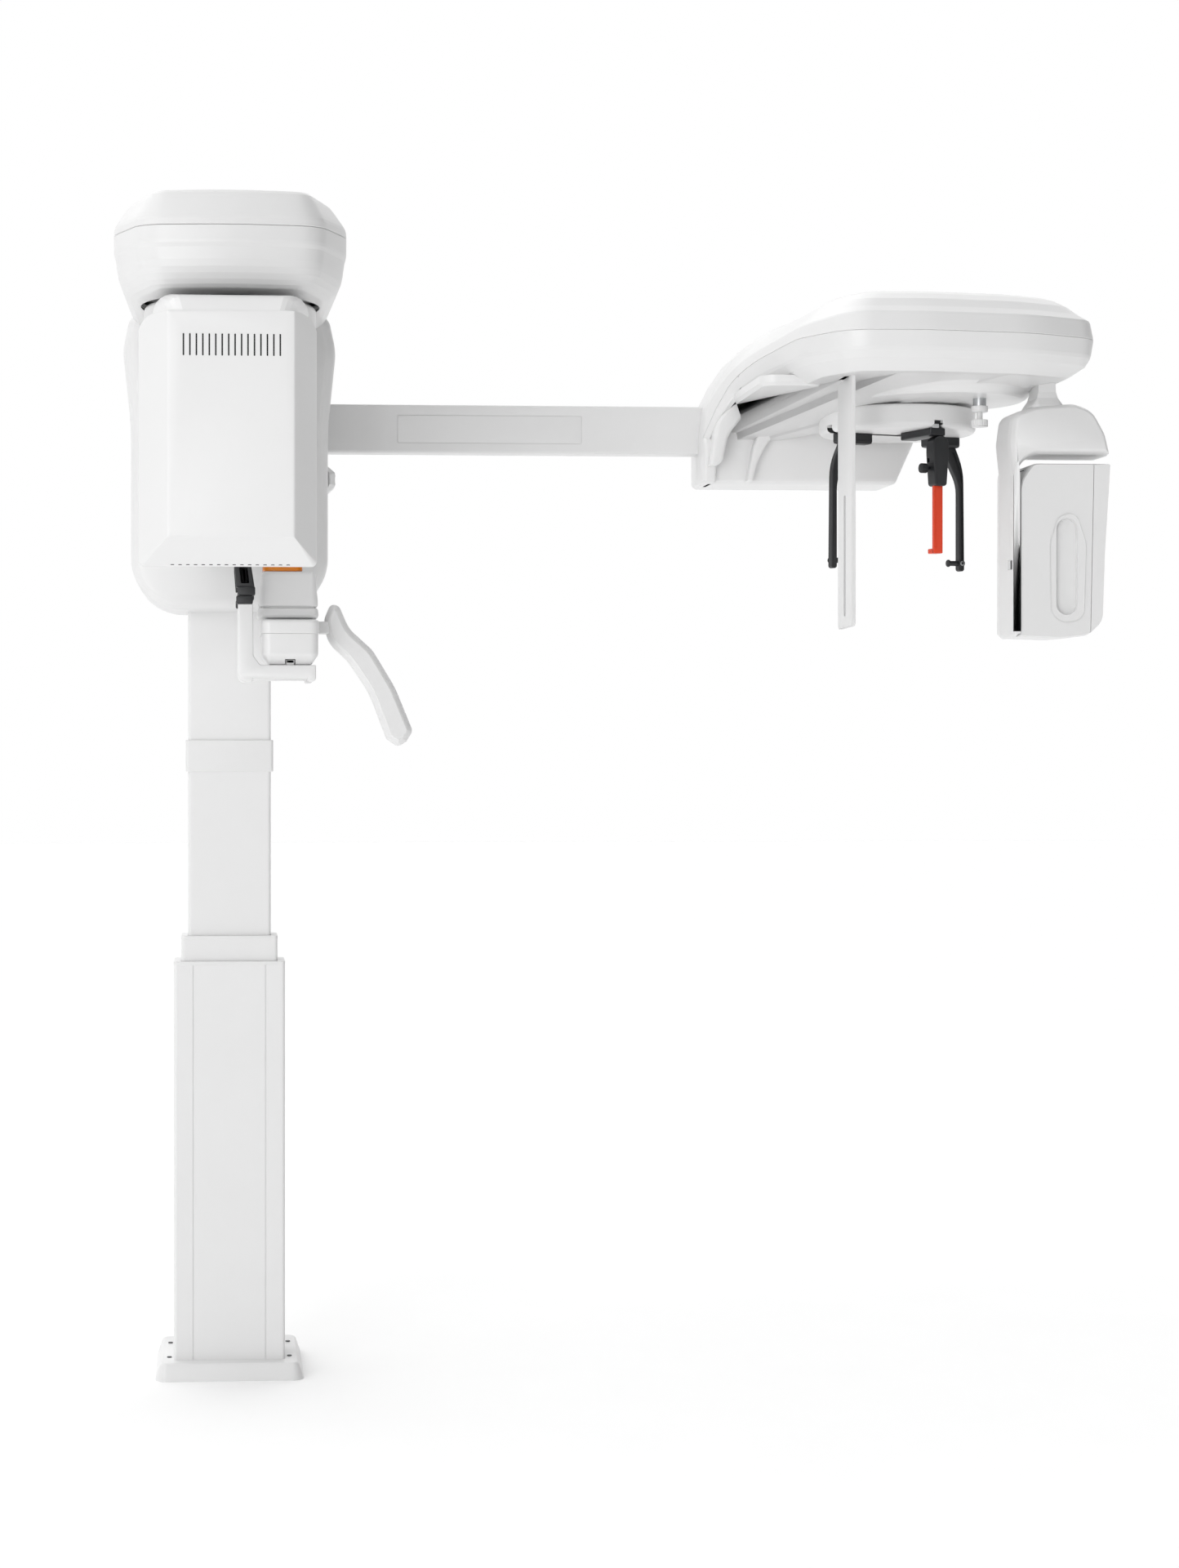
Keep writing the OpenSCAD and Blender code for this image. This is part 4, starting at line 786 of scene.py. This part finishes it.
def ear_arm(side):
    """One ear arm in the holder's frame: slider, sickle-shaped leg, eyelet and plug."""
    slider = shell(box_corners(60, -8.7, 132, 8.7, 1), [(EAR_TOP - 0.3, 0), (EAR_TOP + 13.7, 0)])
    shoe = shell(box_corners(60, -13.5, 130, 13.5, 3), soft_levels(EAR_TOP - 20, EAR_TOP - 0.3, 1, 2, 5))
    leg = shell([(96, EAR_TOP - 4, 4), (118, EAR_TOP - 4, 10), (142, 1718, 120), (144, 1526, 5), (132, 1526, 5),
                 (132, 1690, 70), (101, 1748, 30)], soft_levels(-7, 7, 2, 3), STAND_UP)
    flute = shell([(135.2, 1545, 2), (140.8, 1545, 2), (139.5, 1706, 60), (120, 1752, 8), (112, 1752, 4), (134.2, 1694, 60)],
                  [(5.2, 1), (14, 0)], STAND_UP)
    plug = shell(circle_corners(0, 1541, 5, 20), soft_levels(112, 133, 1, 2), SEEN_FROM_SIDE)
    tip = shell(circle_corners(0, 1541, 7, 20), soft_levels(110, 115, 2, 3), SEEN_FROM_SIDE)
    boss = shell(circle_corners(138, 1541, 6.4, 20), soft_levels(6, 8.4, 0.6, 2), STAND_UP)
    arm = join(cut(leg, flute), slider, shoe, plug, tip, boss)
    if side == "left":
        bmesh.ops.rotate(arm, matrix=Matrix.Rotation(math.pi, 3, "Z"), verts=arm.verts)
    piece("ear_arm_" + side + "_shell", in_holder(arm), "ear_" + side, black_nylon, "dark_plastic", "ear_arm_" + side, crease=36)
    eyelet = cut(shell(circle_corners(138, 1541, 4.6, 15), soft_levels(8.2, 9.4, 0.5, 2), STAND_UP),
                 shell(circle_corners(138, 1541, 2.3, 20), [(5, 0), (20, 0)], STAND_UP))
    if side == "left":
        bmesh.ops.rotate(eyelet, matrix=Matrix.Rotation(math.pi, 3, "Z") , verts=eyelet.verts)
        bmesh.ops.translate(eyelet, verts=eyelet.verts, vec=(0, 0, 0))
    piece("ear_eyelet_" + side, in_holder(eyelet), "ear_" + side, steel_zinc, "steel")


ear_arm("right")
ear_arm("left")

# %% Forehead support
reach, BAR_SIDE = 145, 6
carrier = shell(box_corners(-8.7, -reach + 8, 8.7, -50, 1), [(EAR_TOP - 0.3, 0), (EAR_TOP + 13.7, 0)])
saddle = shell(box_corners(-17, -reach + 2, 16, -40, 3), soft_levels(EAR_TOP - 14, EAR_TOP - 0.3, 0.8, 2, 2))
drop = shell([(-12, 1672, 6), (12, 1672, 6), (16.4, 1732, 60), (16, 1764, 15), (-16, 1764, 15), (-16.4, 1732, 60)],
             soft_levels(reach - 28, reach, 3, 4), STAND_UP)
slot = shell(box_corners(-9.3, -reach + 9.7, 9.3, -reach + 18.3, 0), [(1660, 0), (1758, 0)])
notch = shell(box_corners(-reach + 17, 1716, -reach + 24, 1724, 0.5), [(-30, 0), (-11, 0)], SEEN_FROM_SIDE)
drop = cut(cut(drop, slot), notch)
bmesh.ops.translate(drop, verts=drop.verts, vec=(BAR_SIDE * MM, 0, 0))
piece("forehead_body", in_holder(join(drop, carrier, saddle)), "nasion_slide", black_nylon,
      "dark_plastic", "nasion_body", crease=36)
clip = shell(box_corners(-12, -reach + 1, 2, -reach + 16, 2), soft_levels(EAR_TOP - 0.2, EAR_TOP + 7, 1, 2))
piece("forehead_clip", in_holder(clip), "nasion_slide", grey_abs, "grey_plastic")

bar = shell([(-9, 1549, 2), (9, 1549, 2), (9, 1724, 1), (-9, 1724, 1)], soft_levels(reach - 18, reach - 10, 1, 2), STAND_UP)
foot_tab = shell([(-9, 1549, 2), (9, 1549, 2), (9, 1558, 2), (-9, 1558, 2)], soft_levels(reach - 33, reach - 12, 1.2, 2), STAND_UP)
marks = [shell(box_corners(-9.2, 1560 + 6 * i, -5.5 if i % 5 else -3.5, 1560.9 + 6 * i, 0),
               [(reach - 10.4, 0), (reach - 5, 0)], STAND_UP) for i in range(18)]
red_bar = join(cut(bar, join(*marks)), foot_tab)
bmesh.ops.translate(red_bar, verts=red_bar.verts, vec=(BAR_SIDE * MM, 0, 0))
piece("red_bar", in_holder(red_bar), "nasion_rod", red_nylon, "red_plastic", "nasion_bar", crease=34)

# %% Knobs
def knurled(radius, low, high, ribs):
    """A knob with flutes round its rim."""
    form = shell(circle_corners(0, 0, radius, 5), soft_levels(low, high, 1.2, 3))
    flutes = [shell(circle_corners((radius + 0.7) * math.cos(math.tau * i / ribs), (radius + 0.7) * math.sin(math.tau * i / ribs),
                                   1.5, 45), [(low - 2, 0), (high + 2, 0)]) for i in range(ribs)]
    return cut(form, join(*flutes))


knob_at = Vector((1362, -400, 0)) * MM
disc_knob = join(knurled(15, 1776, 1789, 18), shell(circle_corners(0, 0, 5.5, 12), [(1788, 0), (1804, 0)]),
                 shell(circle_corners(0, 0, 15, 6), soft_levels(1803, 1814, 1.5, 2)),
                 shell(circle_corners(0, 0, 4, 15), [(1812, 0), (1836, 0)]))
bmesh.ops.translate(disc_knob, verts=disc_knob.verts, vec=knob_at)
piece("clamp_knob_cap", disc_knob, "clamp_knob", white_abs, "white_shell", "disc_knob", crease=34)
side_knob = knurled(9, 14, 26, 12)
side_knob = join(side_knob, shell(circle_corners(0, 0, 3, 20), [(9, 0), (15, 0)]))
bmesh.ops.rotate(side_knob, matrix=Matrix.Rotation(math.radians(-90), 3, "Y"), verts=side_knob.verts)
bmesh.ops.translate(side_knob, verts=side_knob.verts, vec=Vector((0, -125, 1705)) * MM)
piece("forehead_knob", in_holder(side_knob), "nasion_screw", black_nylon, "dark_plastic", "nasion_knob", crease=34)

# %% [markdown]
# ## Ray limiting plate
# A white sheet seen nearly edge-on hangs under the canopy. A narrow upright slit in it lets the
# fan of rays through. The slit is cut only part way into the sheet, and the grey strip at its floor
# is painted shade, standing for the dark view through the slit.

# %% Ray limiting plate
blade_low, blade_high = [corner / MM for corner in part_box("collimator_plate")]
BLADE_T = 7
blade = shell([(blade_low.y, blade_low.z + 2, 9), (blade_high.y, blade_low.z - 0, 9), (blade_high.y, 1852, 0), (blade_low.y, 1852, 0)],
              soft_levels(1094, 1094 + BLADE_T, 0.9, 3), SEEN_FROM_SIDE)
slit = shell(box_corners(-496, 1427, -482, 1642, 3), [(1090, 0), (1096.5, 0)], SEEN_FROM_SIDE)
# The grey strip on the floor of the slit is painted shade for the dark view through the slit.
slit_shade_strip = shell(box_corners(-495.6, 1427.4, -482.4, 1641.6, 2.6), [(1095.6, 0), (1096.8, 0)], SEEN_FROM_SIDE)
piece("painted_slit_shade", slit_shade_strip, "ray_plate", grey_abs, "grey_plastic")
hanger = shell(box_corners(1086, blade_low.y + 20, 1101, blade_high.y - 20, 2), [(1850, 0), (blade_high.z, 0)])
piece("ray_plate_sheet", join(cut(blade, slit), hanger), "ray_plate", side_arm_coat, "arm_paint", "collimator_plate", crease=34)

# %% [markdown]
# ## Scanning sensor
# The hood has a neck, a soft shoulder and a strip that runs down on the left. The cassette sits
# beside the strip with a thin open slit above it, and its front has a long hollow for the fingers.

# %% Sensor hood
HOOD = [(1400, 1390, 12), (1400, 1680, 80), (1393.5, 1742, 60), (1400, 1792, 22), (1444, 1806, 40), (1512, 1811, 30),
        (1546, 1799, 46), (1570, 1756, 60), (1579, 1717, 5), (1409, 1717, 40), (1409, 1390, 2)]
hood_front, hood_back = [-corner.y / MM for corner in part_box("ceph_sensor_hood")]
hood = shell(HOOD, [(hood_back, 9), (hood_back + 3, 4), (hood_back + 9, 0.8), (hood_back + 14, 0), (hood_front - 26, 0),
                    (hood_front - 12, 2), (hood_front - 4, 5.5), (hood_front - 1, 8), (hood_front, 10.5)], STAND_UP)
sensor_neck = shell(box_corners(1438, -482, 1496, -394, 12), [(1800, 0), (1808, 1), (1814, 5), (1821, 10), (1832, 13), (1858, 14)])
tray_window = shell(box_corners(-476, 1512, -450, 1530, 3), [(1380, 0), (1403, 0)], SEEN_FROM_SIDE)
piece("sensor_hood", join(cut(hood, tray_window), sensor_neck), "sensor_carriage", white_abs, "white_shell",
      "ceph_sensor_hood", crease=30)
lens_dot = shell(box_corners(-475, 1513, -462, 1529, 1.5), soft_levels(1401.5, 1403.4, 0.4, 2), SEEN_FROM_SIDE)
piece("sensor_light", lens_dot, "sensor_carriage", black_nylon, "dark_plastic")

# %% Cassette
CASSETTE = [(1410.4, 1391, 3), (1488, 1388, 200), (1538, 1394, 30), (1564, 1420, 34), (1568, 1540, 300),
            (1578, 1702.5, 4), (1436, 1702.5, 20), (1411, 1668, 60)]
cassette_front, cassette_back = [-corner.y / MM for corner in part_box("ceph_cassette")]
cassette = shell(CASSETTE, [(cassette_back, 8), (cassette_back + 3, 3), (cassette_back + 8, 0), (cassette_front - 16, 0),
                            (cassette_front - 7, 1), (cassette_front - 2, 2.6), (cassette_front, 5)], STAND_UP)
shallow = shell([(1466, 1412, 30), (1528, 1420, 24), (1532, 1560, 60), (1512, 1618, 20), (1478, 1606, 20), (1464, 1560, 60)],
                [(cassette_front - 6, 12), (cassette_front - 4, 7), (cassette_front - 1, 1.5), (cassette_front + 4, 0)], STAND_UP)
deep = shell([(1476, 1430, 20), (1516, 1430, 20), (1516, 1604, 20), (1476, 1604, 20)],
             [(cassette_front - 22, 9), (cassette_front - 19, 5), (cassette_front - 12, 1.4), (cassette_front + 4, 0)], STAND_UP)
door_line = shell([(1538.6, 1380, 0), (1539.6, 1380, 0), (1546.4, 1710, 0), (1545.4, 1710, 0)],
                  [(cassette_front - 9, 0), (cassette_front + 4, 0)], STAND_UP)
cassette = cut(cut(cut(cassette, shallow), deep), door_line)
piece("cassette", cassette, "sensor_carriage", white_abs, "white_shell", "ceph_cassette", crease=28)

# %% [markdown]
# ## Floor
# The floor is one wide pale sheet under the foot.

# %% Floor
floor_form = bmesh.new()
bmesh.ops.create_grid(floor_form, x_segments=2, y_segments=2, size=30)
floor = bpy.data.objects.new("floor", bpy.data.meshes.new("floor"))
floor_form.to_mesh(floor.data)
floor_form.free()
bpy.context.scene.collection.objects.link(floor)
floor.data.materials.append(finish("white paper sweep", "FFFFFF", 0.9, "FDFDFD", grain_mm=3))

# %% Closing import
import json
